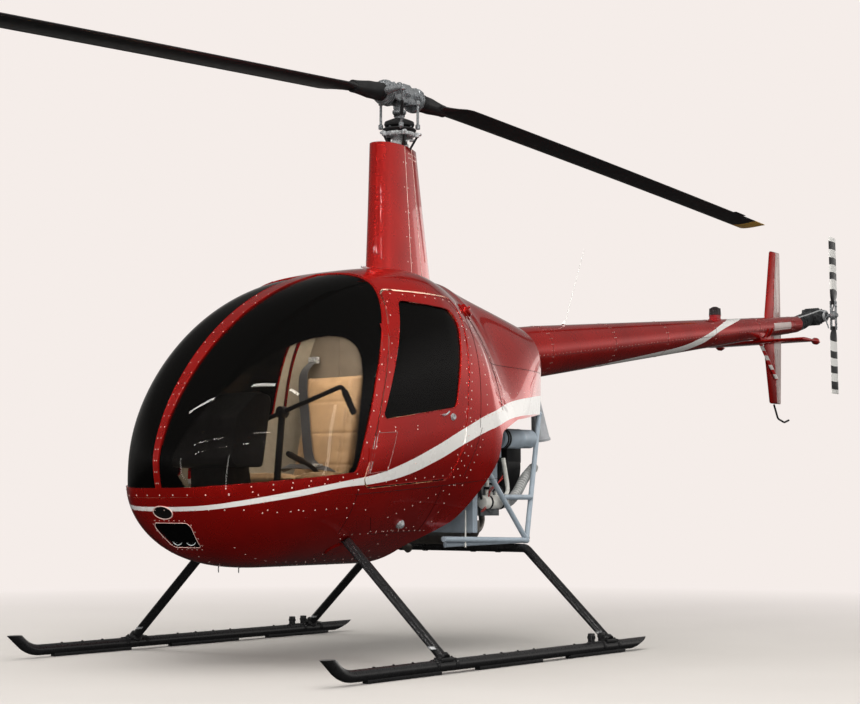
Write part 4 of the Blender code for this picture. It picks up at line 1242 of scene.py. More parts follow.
def build_mast():
    """The mast, swashplate, scissors and push rods below the hub."""
    shape = bmesh.new()
    lathe_into(shape, (0, 0, 1.80), UP, ((0, 0.031), (0.655, 0.031), (0.662, 0.028)), 32)
    lathe_into(shape, (0, 0, 2.398), UP,
               ((0, 0.046), (0.012, 0.046), (0.016, 0.040), (0.030, 0.038), (0.034, 0.034)), 32)
    plate = ((0, 0.060), (0.002, 0.074), (0.010, 0.0765), (0.018, 0.0765), (0.020, 0.072), (0.020, 0.050))
    lathe_into(shape, (0, 0, 2.448), UP, plate, 48)
    for out in rays(12):
        hex_bolt(shape, out * 0.066 + Vector((0, 0, 2.449)), (0, 0, -1), 0.0042, 0.004)
    piece("swashplate_ring", shape, "root", "bare_metal", "swashplate_fixed")
    rods = bmesh.new()
    dark = bmesh.new()
    for angle in (0.6, 2.5, 4.4, -0.6):
        out = Vector((math.cos(angle), math.sin(angle), 0))
        top = out * 0.086 + Vector((0, 0, 2.456))
        low = out * 0.045 + Vector((0, 0, 2.375))
        tube_into(rods, (out * 0.074 + Vector((0, 0, 2.458)),
                         out * 0.102 + Vector((0, 0, 2.4585))), 0.0075, 12)
        rod_end_into(rods, top - UP * 0.012, UP, 0.009, 0.0115, 0.024, 14)
        tube_into(dark, (top - Vector((0, 0, 0.010)), low), 0.0055, 10)
        hex_bolt(rods, out * 0.102 + Vector((0, 0, 2.4585)), out, 0.006, 0.005)
    for side in (1, -1):
        box_into(dark, (side * 0.052 - 0.008, -0.030, 2.400), (side * 0.052 + 0.008, -0.010, 2.452), 0.002)
        tube_into(rods, ((side * 0.040, -0.020, 2.418), (side * 0.066, -0.020, 2.418)), 0.006, 12)
        tube_into(rods, ((side * 0.040, 0.030, 2.432), (side * 0.060, 0.052, 2.432)), 0.007, 12)
    piece("control_rods_light", rods, "root", "bare_metal")
    piece("control_rods_dark", dark, "root", "gear_black")


def blade_point(reach, chordwise, lift, sign):
    """A point of the main rotor: reach out from the axis, to the trailing side, and up."""
    out = Vector((math.sin(MAIN_TURN), math.cos(MAIN_TURN), 0)) * sign
    port = Vector((math.cos(MAIN_TURN), -math.sin(MAIN_TURN), 0)) * sign
    droop = -0.04934 * reach - 0.25 * 0.03228 * reach**2 / MAIN_RADIUS + sign * 0.02292 * reach
    return out * reach + port * chordwise + Vector((0, 0, HUB_HEIGHT + droop + lift))


def foil_height(share, thickness):
    """Half the thickness of an airfoil at a share of its chord, as a share of the chord."""
    curve = 0.2969 * math.sqrt(share) - 0.126 * share - 0.3516 * share**2
    return 5 * thickness * (curve + 0.2843 * share**3 - 0.1015 * share**4)


def airfoil(chord, thickness, count=16):
    """The outline of an airfoil as (back, rise), no thinner than 2% of its chord behind its nose."""
    upper = []
    for k in range(count + 1):
        s = (1 - math.cos(math.pi * k / count)) / 2
        upper.append((s * chord, max(foil_height(s, thickness), 0.010 if 0 < k else 0.0) * chord))
    return upper[::-1] + [(s, -t) for s, t in upper[1:]]


def build_blades():
    """The two main blades, each with its root's taper and a trim tab."""
    for sign, word in ((1, "a"), (-1, "b")):
        shape = bmesh.new()
        sections = [(0.300, 0.072, 0.62), (0.330, 0.088, 0.46), (0.365, 0.128, 0.27), (0.400, 0.166, 0.18),
                    (0.440, 0.182, 0.145), (0.520, MAIN_CHORD, 0.13)]
        sections += [(0.60 + (MAIN_RADIUS - 0.012 - 0.60) * k / 20, MAIN_CHORD, 0.12) for k in range(21)]
        sections += [(MAIN_RADIUS - 0.004, MAIN_CHORD * 0.985, 0.105),
                     (MAIN_RADIUS, MAIN_CHORD * 0.95, 0.06)]
        rings = []
        for reach, chord, thick in sections:
            ahead = 0.25 * min(chord, MAIN_CHORD)
            rings.append([blade_point(reach, back - ahead, rise, sign)
                          for back, rise in airfoil(chord, thick)])
        loft_into(shape, rings)
        tab = [blade_point(reach, back, rise, sign) for reach in (3.36, 3.50)
               for back, rise in ((0.1345, 0.0012), (0.158, 0.0012), (0.158, -0.0004), (0.1345, -0.0004))]
        loft_into(shape, [tab[:4], tab[4:]])
        piece("main_blade_" + word, shape, "main_rotor", "main_blade",
              "rotor_blade_" + word, smooth=40)


def build_hub():
    """The teetering hub: cheek plates, bolts, housings with boots, pitch links and the mast's boots."""
    bright = bmesh.new()
    dark = bmesh.new()
    out = Vector((math.sin(MAIN_TURN), math.cos(MAIN_TURN), 0))
    port = Vector((math.cos(MAIN_TURN), -math.sin(MAIN_TURN), 0))
    middle = UP * HUB_HEIGHT
    # Mast above the swashplate, with its two rubber boots
    lathe_into(bright, (0, 0, 2.470), UP, ((0, 0.022), (0.165, 0.022)), 28)
    low_boot = ((0, 0.060), (0.003, 0.078), (0.009, 0.083), (0.016, 0.078), (0.019, 0.060), (0.020, 0.030))
    high_boot = ((0, 0.030), (0.002, 0.058), (0.007, 0.070), (0.016, 0.074), (0.028, 0.071), (0.034, 0.058),
                 (0.040, 0.044), (0.046, 0.030), (0.047, 0.022))
    for base, profile in ((2.4705, low_boot), (2.4920, high_boot)):
        lathe_into(dark, (0, 0, base), UP, profile, 44)
    for ray in rays(8):
        hex_bolt(bright, ray * 0.072 + UP * 2.4885, UP, 0.004, 0.0035)
    lathe_into(bright, (0, 0, 2.560), UP, ((0, 0.030), (0.006, 0.034), (0.016, 0.034), (0.020, 0.029)), 24)
    lathe_into(dark, (0, 0, 2.548), UP, ((0, 0.027), (0.012, 0.027)), 24)
    # Cheek plates with tapered ends
    for edge in (-1, 1):
        face = []
        outline = ((-0.118, -0.012), (-0.100, -0.036), (-0.040, -0.044), (0.040, -0.044), (0.100, -0.036),
                   (0.118, -0.012), (0.118, 0.016), (0.096, 0.034), (0.040, 0.038), (0.026, 0.048),
                   (-0.026, 0.048), (-0.040, 0.038), (-0.096, 0.034), (-0.118, 0.016))
        for depth in (0.033, 0.047):
            face.append([middle + out * a + UP * b + port * edge * depth for a, b in outline])
        plate = bmesh.new()
        loft_into(plate, face)
        bmesh.ops.recalc_face_normals(plate, faces=plate.faces)
        bmesh.ops.bevel(plate, geom=plate.edges[:], offset=0.0022, segments=2, affect="EDGES", profile=0.6)
        merge(bright, plate)
        for along, radius in ((0.0, 0.0155), (0.076, 0.0125), (-0.076, 0.0125)):
            spot = middle + out * along + port * edge * 0.047
            lathe_into(bright, spot, port * edge,
                       ((0, radius * 1.55), (0.003, radius * 1.55), (0.003, 0)), 24)
            lathe_into(bright, spot, port * edge,
                       ((0.003, radius * 1.12), (0.016, radius * 1.12), (0.018, radius * 0.9),
                        (0.018, 0)), 6)
            lathe_into(bright, spot, port * edge,
                       ((0.018, radius * 0.6), (0.026, radius * 0.6), (0.027, 0)), 12)
        tube_into(dark, (middle + out * 0.046 + port * edge * 0.020 - UP * 0.02,
                         middle + out * 0.100 + port * edge * 0.022 - UP * 0.030), 0.007, 8)
    box_into(dark, middle - Vector((0.031, 0.050, 0.030)), middle + Vector((0.031, 0.050, 0.034)), 0.006)
    lathe_into(bright, middle + UP * 0.030, UP,
               ((0, 0.027), (0.010, 0.027), (0.012, 0.024), (0.018, 0.024), (0.020, 0.020), (0.020, 0)), 8)
    lathe_into(bright, middle + UP * 0.048, UP,
               ((0, 0.014), (0.012, 0.014), (0.016, 0.010), (0.017, 0)), 18)
    for along in (-0.045, 0.045):
        lathe_into(bright, middle + out * along + UP * 0.040, UP,
                   ((0, 0.013), (0.010, 0.013), (0.013, 0.010), (0.013, 0)), 6)
        lathe_into(bright, middle + out * along + UP * 0.052, UP,
                   ((0, 0.007), (0.006, 0.007), (0.007, 0)), 12)
    piece("hub_head_bright", bright, "main_rotor", "hub_metal", "rotor_hub", smooth=30)
    piece("hub_head_dark", dark, "main_rotor", "rubber_black", smooth=40)
    for sign, word in ((1, "a"), (-1, "b")):
        bright = bmesh.new()
        dark = bmesh.new()
        start, end = blade_point(0.100, 0, 0, sign), blade_point(0.336, 0, 0, sign)
        axis = (end - start).normalized()
        lathe_into(bright, start, axis,
                   ((-0.012, 0.026), (0.0, 0.040), (0.004, 0.060), (0.010, 0.062), (0.011, 0.056),
                    (0.020, 0.056), (0.021, 0.062), (0.028, 0.061), (0.032, 0.052), (0.044, 0.048),
                    (0.046, 0.040)), 36)
        for k in range(10):
            angle = 2 * math.pi * k / 10
            side, top = frame_along(axis)
            ray = side * math.cos(angle) + top * math.sin(angle)
            hex_bolt(bright, start + axis * 0.0280 + ray * 0.0555, axis, 0.0042, 0.006)
        boot = ((0, 0.038), (0.004, 0.044), (0.012, 0.040), (0.020, 0.044), (0.028, 0.040), (0.036, 0.044),
                (0.050, 0.042), (0.100, 0.041), (0.140, 0.036), (0.190, 0.031), (0.221, 0.030))
        lathe_into(dark, start + axis * 0.044, axis, boot, 36)
        horn_root = blade_point(0.150, 0, 0.0, sign)
        horn_end = blade_point(0.160, -0.145, 0.0, sign)
        tube_into(bright, (horn_root, horn_root.lerp(horn_end, 0.6), horn_end), [0.021, 0.015, 0.011], 14)
        lathe_into(bright, horn_end - UP * 0.014, UP,
                   ((0, 0.008), (0.003, 0.012), (0.025, 0.012), (0.028, 0.008), (0.028, 0)), 16)
        top = blade_point(0.16, -0.140, -0.016, sign)
        foot = Vector((top.x * 0.62, top.y * 0.62, 2.481))
        tube_into(bright, (foot, top), 0.0055, 14)
        tube_into(dark, (foot.lerp(top, 0.30), foot.lerp(top, 0.72)), 0.0085, 14)
        for share in (0.24, 0.78):
            spot = foot.lerp(top, share)
            lathe_into(bright, spot - (top - foot).normalized() * 0.005, top - foot,
                       ((0, 0.0095), (0.010, 0.0095)), 6)
        tube_into(bright, (Vector((foot.x * 0.55, foot.y * 0.55, foot.z)), foot), 0.008, 12)
        rod_end_into(bright, foot - UP * 0.012, UP, 0.008, 0.0115, 0.024, 16)
        rod = Vector((0.070, 0.056, 0)) * sign
        tube_into(bright, (rod + Vector((0, 0, 2.486)), rod + Vector((0, 0, 2.622))), 0.0065, 14)
        for height in (2.486, 2.604):
            rod_end_into(bright, rod + UP * height, UP, 0.009, 0.012, 0.023, 14)
        box_into(bright, rod * 0.55 + Vector((-0.022, -0.012, 2.604)),
                 rod * 0.55 + Vector((0.022, 0.012, 2.622)), 0.003)
        piece("blade_grip_bright_" + word, bright, "main_rotor", "hub_metal",
              "pitch_link_" + word, smooth=30)
        piece("blade_grip_dark_" + word, dark, "main_rotor", "blade_black", smooth=40)


# Tail

def boom_at(y):
    """Radius and height of the tail cone's middle at y."""
    for low, high in zip(BOOM, BOOM[1:]):
        if y <= high[0] or high is BOOM[-1]:
            share = (y - low[0]) / (high[0] - low[0])
            return low[1] + (high[1] - low[1]) * share, low[2] + (high[2] - low[2]) * share


def boom_ring(y, grow=0.0):
    """Points round the tail cone at y, moved out by grow."""
    count = 64
    radius, height = boom_at(y)
    return [Vector(((radius + grow) * math.cos(a), y, height + (radius + grow) * math.sin(a)))
            for a in (2 * math.pi * (k + 0.5) / count for k in range(count))]


def boom_point(y, angle, grow=0.0):
    """A point on the tail cone, and the way out from its middle there."""
    radius, height = boom_at(y)
    out = Vector((math.cos(angle), 0, math.sin(angle)))
    return Vector((0, y, height)) + out * (radius + grow), out


BOOM_SEAMS = (1.100, 1.740, 2.330, 2.930, 3.530, 4.040)
# The white band on the tail cone: share of the radius above its middle, then front and rear y
BAND = (
    (-1.00, 1.15, 2.36),
    (-0.90, 1.62, 2.60),
    (-0.73, 2.20, 2.70),
    (-0.60, 2.49, 2.77),
    (-0.23, 2.72, 2.88),
    (0.14, 2.87, 2.99),
    (0.50, 2.99, 3.14),
    (0.79, 3.10, 3.28),
    (1.00, 3.20, 3.38),
)


def boom_band(tree, x, y, z):
    """1 on the white band that sweeps down and forward round the tail cone."""
    (y_low, r_low, z_low), (y_high, r_high, z_high) = BOOM[1], BOOM[2]
    along = math_node(tree, "SUBTRACT", y, y_low)
    length = y_high - y_low
    radius = math_node(tree, "ADD", math_node(tree, "MULTIPLY", along, (r_high - r_low) / length), r_low)
    height = math_node(tree, "ADD", math_node(tree, "MULTIPLY", along, (z_high - z_low) / length), z_low)
    share = math_node(tree, "DIVIDE", math_node(tree, "SUBTRACT", z, height), radius)
    front, rear = (curve_node(tree, share, [(row[0], row[i]) for row in BAND], -1.0, 1.0) for i in (1, 2))
    return between(tree, y, front, rear, 0.001)


def build_boom():
    """The tail cone, its seams and rivets, and two blank plates near its end."""
    shape = bmesh.new()
    start, end = BOOM[0][0], BOOM[2][0]
    rings = [boom_ring(start + (end - start) * k / 40) for k in range(41)]
    rings += [boom_ring(end + 0.0015, -0.003), boom_ring(end + 0.0015, -0.008),
              boom_ring(end - 0.02, -0.010)]
    loft_into(shape, rings)
    piece("tail_cone", shape, "root", "boom_paint", "tail_boom")
    seams = bmesh.new()
    rivets = bmesh.new()
    for y in BOOM_SEAMS:
        tube_into(seams, boom_ring(y, 0.0001), 0.0009, 6, closed=True)
        count = max(10, round(2 * math.pi * boom_at(y)[0] / 0.034))
        for k in range(count):
            for step in (-0.009, 0.009):
                spot, out = boom_point(y + step, 2 * math.pi * k / count)
                rivet_into(rivets, [spot], [out], 0.0020, 0.0008)
    for angle in (math.radians(-12), math.radians(192)):
        tube_into(seams, [boom_point(0.80 + 0.08 * k, angle, 0.0002)[0] for k in range(42)], 0.0009, 6)
        for k in range(92):
            spot, out = boom_point(0.80 + 0.036 * k, angle + 0.06)
            rivet_into(rivets, [spot], [out], 0.0018, 0.0007)
    piece("tail_cone_seams", seams, "root", "seam_red")
    # The rivets in pale pink: painted highlights.
    piece("tail_cone_rivets", rivets, "root", "painted_highlight_pink", smooth=60)
    plates = bmesh.new()
    for sign in (1, -1):
        angles = [math.pi / 2 - sign * (math.pi / 2 - math.radians(turn)) for turn in (-22, -12, 0, 12, 22)]
        rows = [[boom_point(y, a, 0.0006)[0] for a in angles] for y in (3.735, 3.745, 3.975, 3.988)]
        loft_into(plates, rows, False, False)
    piece("blank_plates", plates, "root", "plate_pale", smooth=60)


def fin_ring(x, front, rear, z, foil, count):
    """A level section of a fin, foil thick."""
    chord = rear - front
    return [Vector((x + rise, front + back, z)) for back, rise in airfoil(chord, foil / chord, count)]


# Each fin's rows from its root to its tip: z, front y, rear y, thickness
FIN_X = -0.030
FIN_THICKNESS = 0.026
FINS = (
    ("fin_top", "fin_upper", (
        (1.868, 3.776, 4.003, FIN_THICKNESS),
        (1.905, 3.782, 4.003, FIN_THICKNESS),
        (2.340, 3.867, 4.005, FIN_THICKNESS),
        (2.347, 3.872, 4.003, 0.018),
        (2.350, 3.880, 3.998, 0.006),
    )),
    ("fin_bottom", "fin_lower", (
        (1.805, 3.751, 4.005, FIN_THICKNESS),
        (1.700, 3.770, 4.004, FIN_THICKNESS),
        (1.346, 3.836, 3.987, FIN_THICKNESS),
        (1.339, 3.841, 3.985, 0.018),
        (1.336, 3.848, 3.980, 0.006),
    )),
)
PLANE_CHORD = 0.225
PLANE_Z = 1.722


def plane_ring(x, scale=1.0, squeeze=1.0):
    """A section of the stabiliser, made thinner by scale and shorter by squeeze at its tips."""
    middle = PLANE_CHORD / 2
    return [Vector((x, 3.570 + middle + (back - middle) * squeeze, PLANE_Z + rise * scale))
            for back, rise in airfoil(PLANE_CHORD, 0.12, 14)]


def build_fins():
    """The two fins, each with a rounded tip, and the stabiliser with its end caps and saddle."""
    for name, replaced, rows in FINS:
        shape = bmesh.new()
        loft_into(shape, [fin_ring(FIN_X, front, rear, z, thickness, 12)
                          for z, front, rear, thickness in rows])
        for share in (0.42, 0.58, 0.74, 0.88):
            for edge in (1, -1):
                x = FIN_X + edge * (foil_height(share, FIN_THICKNESS) + 0.0004)
                low, high = (Vector((x, front + (rear - front) * share, z))
                             for z, front, rear, _ in rows[1:3])
                tube_into(shape, [low.lerp(high, k / 8) for k in range(9)], 0.0012, 6)
        bmesh.ops.recalc_face_normals(shape, faces=shape.faces)
        piece(name, shape, "root", "fin_paint", replaced, smooth=45)

    shape = bmesh.new()
    rings = [plane_ring(-0.392, 0.40, 0.94), plane_ring(-0.388, 0.80, 0.98)]
    rings += [plane_ring(-0.380 + 0.710 * k / 16) for k in range(17)]
    rings += [plane_ring(0.338, 0.80, 0.98), plane_ring(0.342, 0.40, 0.94)]
    loft_into(shape, rings)
    cap = ((0, 0.002), (0.058, 0.022), (0.084, 0.022), (0.142, 0.001))
    for x in (0.322, -0.372):
        lathe_into(shape, (x, 3.728, PLANE_Z), (0, 1, 0), cap, 20)
    piece("tail_plane", shape, "root", "plain_paint", "stabiliser", smooth=45)
    shape = bmesh.new()
    box_into(shape, (-0.030, 3.612, 1.728), (0.030, 3.748, 1.776), 0.006)
    for x in (-0.022, 0.022):
        for y in (3.630, 3.730):
            hex_bolt(shape, (x, y, 1.7275), (0, 0, -1), 0.006, 0.004)
    for y in (3.640, 3.700):
        strap = [boom_point(y, math.radians(a), 0.002)[0] for a in range(-175, -4, 10)]
        tube_into(shape, strap, 0.0045, 8)
    piece("tail_plane_saddle", shape, "root", "plain_paint")


def build_tail_fittings():
    """Beacon, whip aerial, guard, gearbox, control rods and warning rod."""
    shape = bmesh.new()
    bends = ((3.893, 1.3300), (3.945, 1.240), (4.035, 1.218), (4.100, 1.235))
    tube_into(shape, arc_path([(-0.030, y, z) for y, z in bends], 0.04), 0.0065, 16)
    piece("tail_bumper", shape, "root", "gear_black", "tail_guard")

    base = bmesh.new()
    top = sum(boom_at(3.070))
    lathe_into(base, (0, 3.070, top - 0.012), UP,
               ((0, 0.042), (0.012, 0.042), (0.016, 0.036), (0.030, 0.036), (0.032, 0.038), (0.036, 0.038),
                (0.038, 0.033)), 32)
    piece("beacon_base", base, "root", "beacon_plastic", "beacon", smooth=40)
    dome = bmesh.new()
    rows = [(0.024, 0.0335), (0.050, 0.0325), (0.066, 0.029), (0.074, 0.022), (0.078, 0.012), (0.079, 0)]
    lathe_into(dome, (0, 3.070, top), UP, rows, 32)
    for ray in rays(12):
        tube_into(dome, (Vector((0, 3.070, top + 0.026)) + ray * 0.0325,
                         Vector((0, 3.070, top + 0.068)) + ray * 0.0300), 0.0050, 8)
    piece("beacon_cap", dome, "root", "beacon_dark", smooth=40)

    whip = bmesh.new()
    foot = Vector((0.0, 1.405, 1.640))
    tip = Vector((0.0, 1.600, 2.095))
    tube_into(whip, [foot.lerp(tip, k / 12) + Vector((0, 0.012 * (k / 12) ** 2, 0)) for k in range(13)],
              [0.0022 - 0.0010 * k / 12 for k in range(13)], 8)
    lathe_into(whip, (0, 1.400, 1.650), (0, 0.35, 1),
               ((0, 0.012), (0.010, 0.010), (0.022, 0.004), (0.023, 0)), 16)
    piece("whip_aerial", whip, "root", "aerial_white")

    case = bmesh.new()
    axis = [Vector(p) for p in ((0, 4.150, 1.8805), (0, 4.172, 1.885), (0, 4.182, 1.888), (0, 4.214, 1.896),
                                (0, 4.250, 1.905), (0, 4.300, 1.920), (0, 4.345, 1.935))]
    tube_into(case, axis, [0.036, 0.050, 0.050, 0.043, 0.043, 0.048, 0.045], 28)
    for place in (0.0, 0.35, 0.62):
        spot = axis[2].lerp(axis[5], place)
        collar_into(case, spot, axis[5] - axis[2], 0.047, 0.0525, 0.007, 28)
    lathe_into(case, TAIL_HUB - Vector((0.215, 0, 0)), (1, 0, 0),
               ((0, 0.020), (0.004, 0.046), (0.010, 0.055), (0.060, 0.057), (0.105, 0.053), (0.125, 0.046),
                (0.140, 0.036), (0.165, 0.028), (0.170, 0.022)), 32)
    for k in range(7):
        collar_into(case, TAIL_HUB - Vector((0.200 - 0.014 * k, 0, 0)), (1, 0, 0), 0.050, 0.060, 0.005, 32)
    for k in range(8):
        angle = 2 * math.pi * k / 8
        ray = Vector((0, math.cos(angle), math.sin(angle)))
        hex_bolt(case, TAIL_HUB + Vector((-0.090, 0, 0)) + ray * 0.046, (1, 0, 0), 0.0045, 0.005)
        hex_bolt(case, axis[2] + (ray - (axis[5] - axis[2]).normalized() * ray.y) * 0.0465,
                 (0, -1, -0.2), 0.004, 0.004)
    lathe_into(case, (0, 4.285, 1.958), UP,
               ((0, 0.014), (0.010, 0.014), (0.012, 0.010), (0.030, 0.009), (0.034, 0.006), (0.034, 0)), 18)
    piece("tail_drive_case", case, "root", "case_dark", "tail_gearbox", smooth=35)
    linkage = bmesh.new()
    tube_into(linkage, ((0.030, 4.150, 1.925), (0.062, 4.250, 1.955), (0.100, 4.330, 1.985)), 0.005, 10)
    tube_into(linkage, ((0.100, 4.330, 1.985), (0.112, 4.392, 1.987)), 0.006, 10)
    lathe_into(linkage, (0.105, 4.392, 1.952), (1, 0, 0),
               ((0, 0.034), (0.003, 0.038), (0.012, 0.038), (0.015, 0.034)), 28)
    tube_into(linkage, ((-0.020, 3.780, 1.845), (-0.055, 3.900, 1.850), (-0.058, 4.150, 1.905)), 0.004, 8)
    piece("tail_control_rods", linkage, "root", "bare_metal")

    rod = bmesh.new()
    tube_into(rod, (Vector((-0.005, 3.660, 1.729)), Vector((-0.005, 3.889, 1.498))), 0.011, 14)
    piece("warning_rod", rod, "root", "striped_rod")


def build_tail_rotor():
    """The tail rotor's blades and its hub with side plates, bolts and links."""
    shape = bmesh.new()
    for sign in (1, -1):
        rings = []
        for reach, chord, thick in ((0.075, 0.042, 0.62), (0.095, 0.052, 0.42), (0.125, 0.090, 0.20),
                                    (0.150, TAIL_CHORD, 0.14), (0.30, TAIL_CHORD, 0.12),
                                    (0.45, TAIL_CHORD, 0.11), (TAIL_RADIUS - 0.006, TAIL_CHORD, 0.11),
                                    (TAIL_RADIUS, TAIL_CHORD * 0.94, 0.06)):
            centre = TAIL_HUB + Vector((0, -0.021 * reach * sign, reach * sign))
            rings.append([centre + Vector((rise, sign * (back - 0.4 * chord), 0))
                          for back, rise in airfoil(chord, thick, 12)])
        loft_into(shape, rings)
    bmesh.ops.recalc_face_normals(shape, faces=shape.faces)
    piece("tail_blades", shape, "tail_rotor", "tail_blade", "tail_rotor_blades", smooth=40)
    hub = bmesh.new()
    lathe_into(hub, TAIL_HUB - Vector((0.042, 0, 0)), (1, 0, 0),
               ((0, 0.013), (0.024, 0.013), (0.026, 0.024), (0.034, 0.030), (0.056, 0.030), (0.060, 0.024),
                (0.066, 0.015), (0.072, 0.013), (0.072, 0)), 28)
    for edge in (-1, 1):
        box_into(hub, TAIL_HUB + Vector((edge * 0.017 - 0.003, -0.014, -0.100)),
                 TAIL_HUB + Vector((edge * 0.017 + 0.003, 0.014, 0.100)), 0.002)
        for z in (-0.085, -0.060, 0.060, 0.085):
            hex_bolt(hub, TAIL_HUB + Vector((edge * 0.0205, 0, z)), (edge, 0, 0), 0.0050, 0.004)
    for sign in (1, -1):
        tube_into(hub, (TAIL_HUB + Vector((-0.038, sign * 0.050, sign * 0.020)),
                        TAIL_HUB + Vector((-0.014, sign * 0.048, sign * 0.090))), 0.0045, 10)
        tube_into(hub, (TAIL_HUB + Vector((-0.040, 0, 0)),
                        TAIL_HUB + Vector((-0.040, sign * 0.052, sign * 0.020))), 0.006, 10)
    piece("tail_hub", hub, "tail_rotor", "hub_metal", smooth=35)


# Landing gear

REAR_LEG_Y = 0.387
CROSS_TUBE_X = 0.3296
CROSS_TUBE_Z = 0.469
def streamline_into(shape, path, length, width):
    """A leg with a streamlined section, its long way along Y. The path has points with their scales."""
    sides = 20
    rings = []
    for place, scale in path:
        ring = []
        for k in range(sides):
            angle = 2 * math.pi * k / sides
            along = math.cos(angle)
            across = math.sin(angle) * (0.62 + 0.38 * (0.5 - 0.5 * along))
            ring.append(Vector(place) + Vector((across * width * scale, along * length * scale, 0)))
        rings.append(ring)
    loft_into(shape, rings)


def build_runner(side, word):
    """One skid, cut flat at its toe and heel, with its wear shoes, bolts and wheel lugs."""
    x = side * SKID_SPREAD
    shape = bmesh.new()
    path = arc_path(((x, -1.565, 0.150), (x, -1.430, 0.034), (x, 0.700, 0.034)), 0.150, math.radians(5))
    tube_into(shape, path, SKID_RADIUS, 28)
    runner = new_object("skid", shape)
    cutter = bmesh.new()
    box_into(cutter, (x - 0.1, -1.65, SKID_TOE_Z), (x + 0.1, -1.35, 0.30))
    heel = prism(((0.540, -0.001), (0.800, -0.001), (0.800, 0.060), (0.690, 0.056)), x - 0.1, x + 0.1)
    cut(runner, new_object("toe", cutter), heel)
    shape = shape_of(runner)
    for y in (-1.30, -0.60, 0.06):
        box_into(shape, (x - 0.014, y, 0.0), (x + 0.014, y + 0.45, 0.020), 0.002)
        for k in range(4):
            hex_bolt(shape, (x, y + 0.05 + 0.117 * k, 0.0575), UP, 0.0050, 0.003)
    for y in (0.235, 0.318):
        box_into(shape, (x - 0.012, y, 0.030), (x + 0.012, y + 0.024, 0.098), 0.003)
        lathe_into(shape, (x - side * 0.017, y + 0.012, 0.080), (side, 0, 0),
                   ((0, 0.009), (0.034, 0.009)), 14)
    box_into(shape, (x - 0.010, 0.225, 0.052), (x + 0.010, 0.352, 0.060), 0.002)
    piece("skid_runner_" + word, shape, "root", "gear_black", "skid_" + word)


def build_leg(side, word, name, y):
    """One leg with its foot on the skid, and a bright clamp above the foot."""
    x = side * SKID_SPREAD
    shape = bmesh.new()
    foot = Vector((x, y, 0.058))
    if name == "rear":
        top = Vector((side * 0.465, y, CROSS_TUBE_Z))
        tube_into(shape, arc_path((Vector((side * CROSS_TUBE_X, y, CROSS_TUBE_Z)), top, foot), 0.05),
                  LEG_RADIUS, 28)
        shares, length = ((0.13, 0.98), (0.16, 1.0), (0.90, 1.0), (0.93, 0.98)), 0.030
    else:
        top = Vector((side * 0.330, y, 0.5835))
        tube_into(shape, (foot, top.lerp(foot, 0.12)), LEG_RADIUS, 28)
        shares, length = ((0.12, 1.0), (0.90, 1.0), (0.93, 0.98)), 0.032
    streamline_into(shape, [(top.lerp(foot, share), scale) for share, scale in shares], length, 0.0225)
    box_into(shape, (x - 0.022, y - 0.040, 0.0500), (x + 0.022, y + 0.040, 0.066), 0.003)
    socket_top = Vector((side * 0.33, y, 0.55))
    lathe_into(shape, foot - UP * 0.002, socket_top - foot,
               ((0, 0.030), (0.014, 0.030), (0.020, 0.024)), 24)
    around = [math.radians(turn) for turn in range(-20, 201, 20)]
    for dy in (-0.060, 0.060):
        for shift in (-0.006, 0.0, 0.006):
            strap = [Vector((x + 0.0262 * math.cos(a), y + dy + shift, 0.034 + 0.0262 * math.sin(a)))
                     for a in around]
            tube_into(shape, strap, 0.0022, 6)
    for dx in (-0.014, 0.014):
        for dy in (-0.030, 0.030):
            hex_bolt(shape, (x + dx, y + dy, 0.066), UP, 0.0045, 0.004)
    piece(f"gear_leg_{name}_{word}", shape, "root", "gear_black", f"leg_{name}_{word}")
    band = bmesh.new()
    streamline_into(band, [(foot.lerp(top, share), 1.03) for share in (0.075, 0.095)], 0.032, 0.0228)
    piece(f"leg_clamp_{name}_{word}", band, "root", "bare_metal")


def build_gear():
    """The skids, their four legs and the rear cross tube."""
    for side, word in SIDES:
        build_runner(side, word)
        for name, y in (("front", -0.819), ("rear", REAR_LEG_Y)):
            build_leg(side, word, name, y)
    shape = bmesh.new()
    ends = [Vector((side * CROSS_TUBE_X, REAR_LEG_Y, CROSS_TUBE_Z)) for side in (-1, 1)]
    tube_into(shape, ends, LEG_RADIUS, 28)
    for side, _ in SIDES:
        for x in (0.300, 0.150):
            collar_into(shape, (side * x - 0.012, REAR_LEG_Y, CROSS_TUBE_Z), (1, 0, 0), 0.020,
                        0.0235, 0.024, 24)
    piece("rear_cross_tube", shape, "root", "gear_black", "cross_tube_rear")


# The engine bay

# Middles of the cylinders along the engine, and heights of the crankshaft, the fan and the two pulleys
CYLINDER_ROWS = (0.125, 0.290)
CRANK_Z = 0.695
FAN_Z = 0.865
UPPER_PULLEY_Z = 1.290
LOWER_PULLEY_Z = 0.720
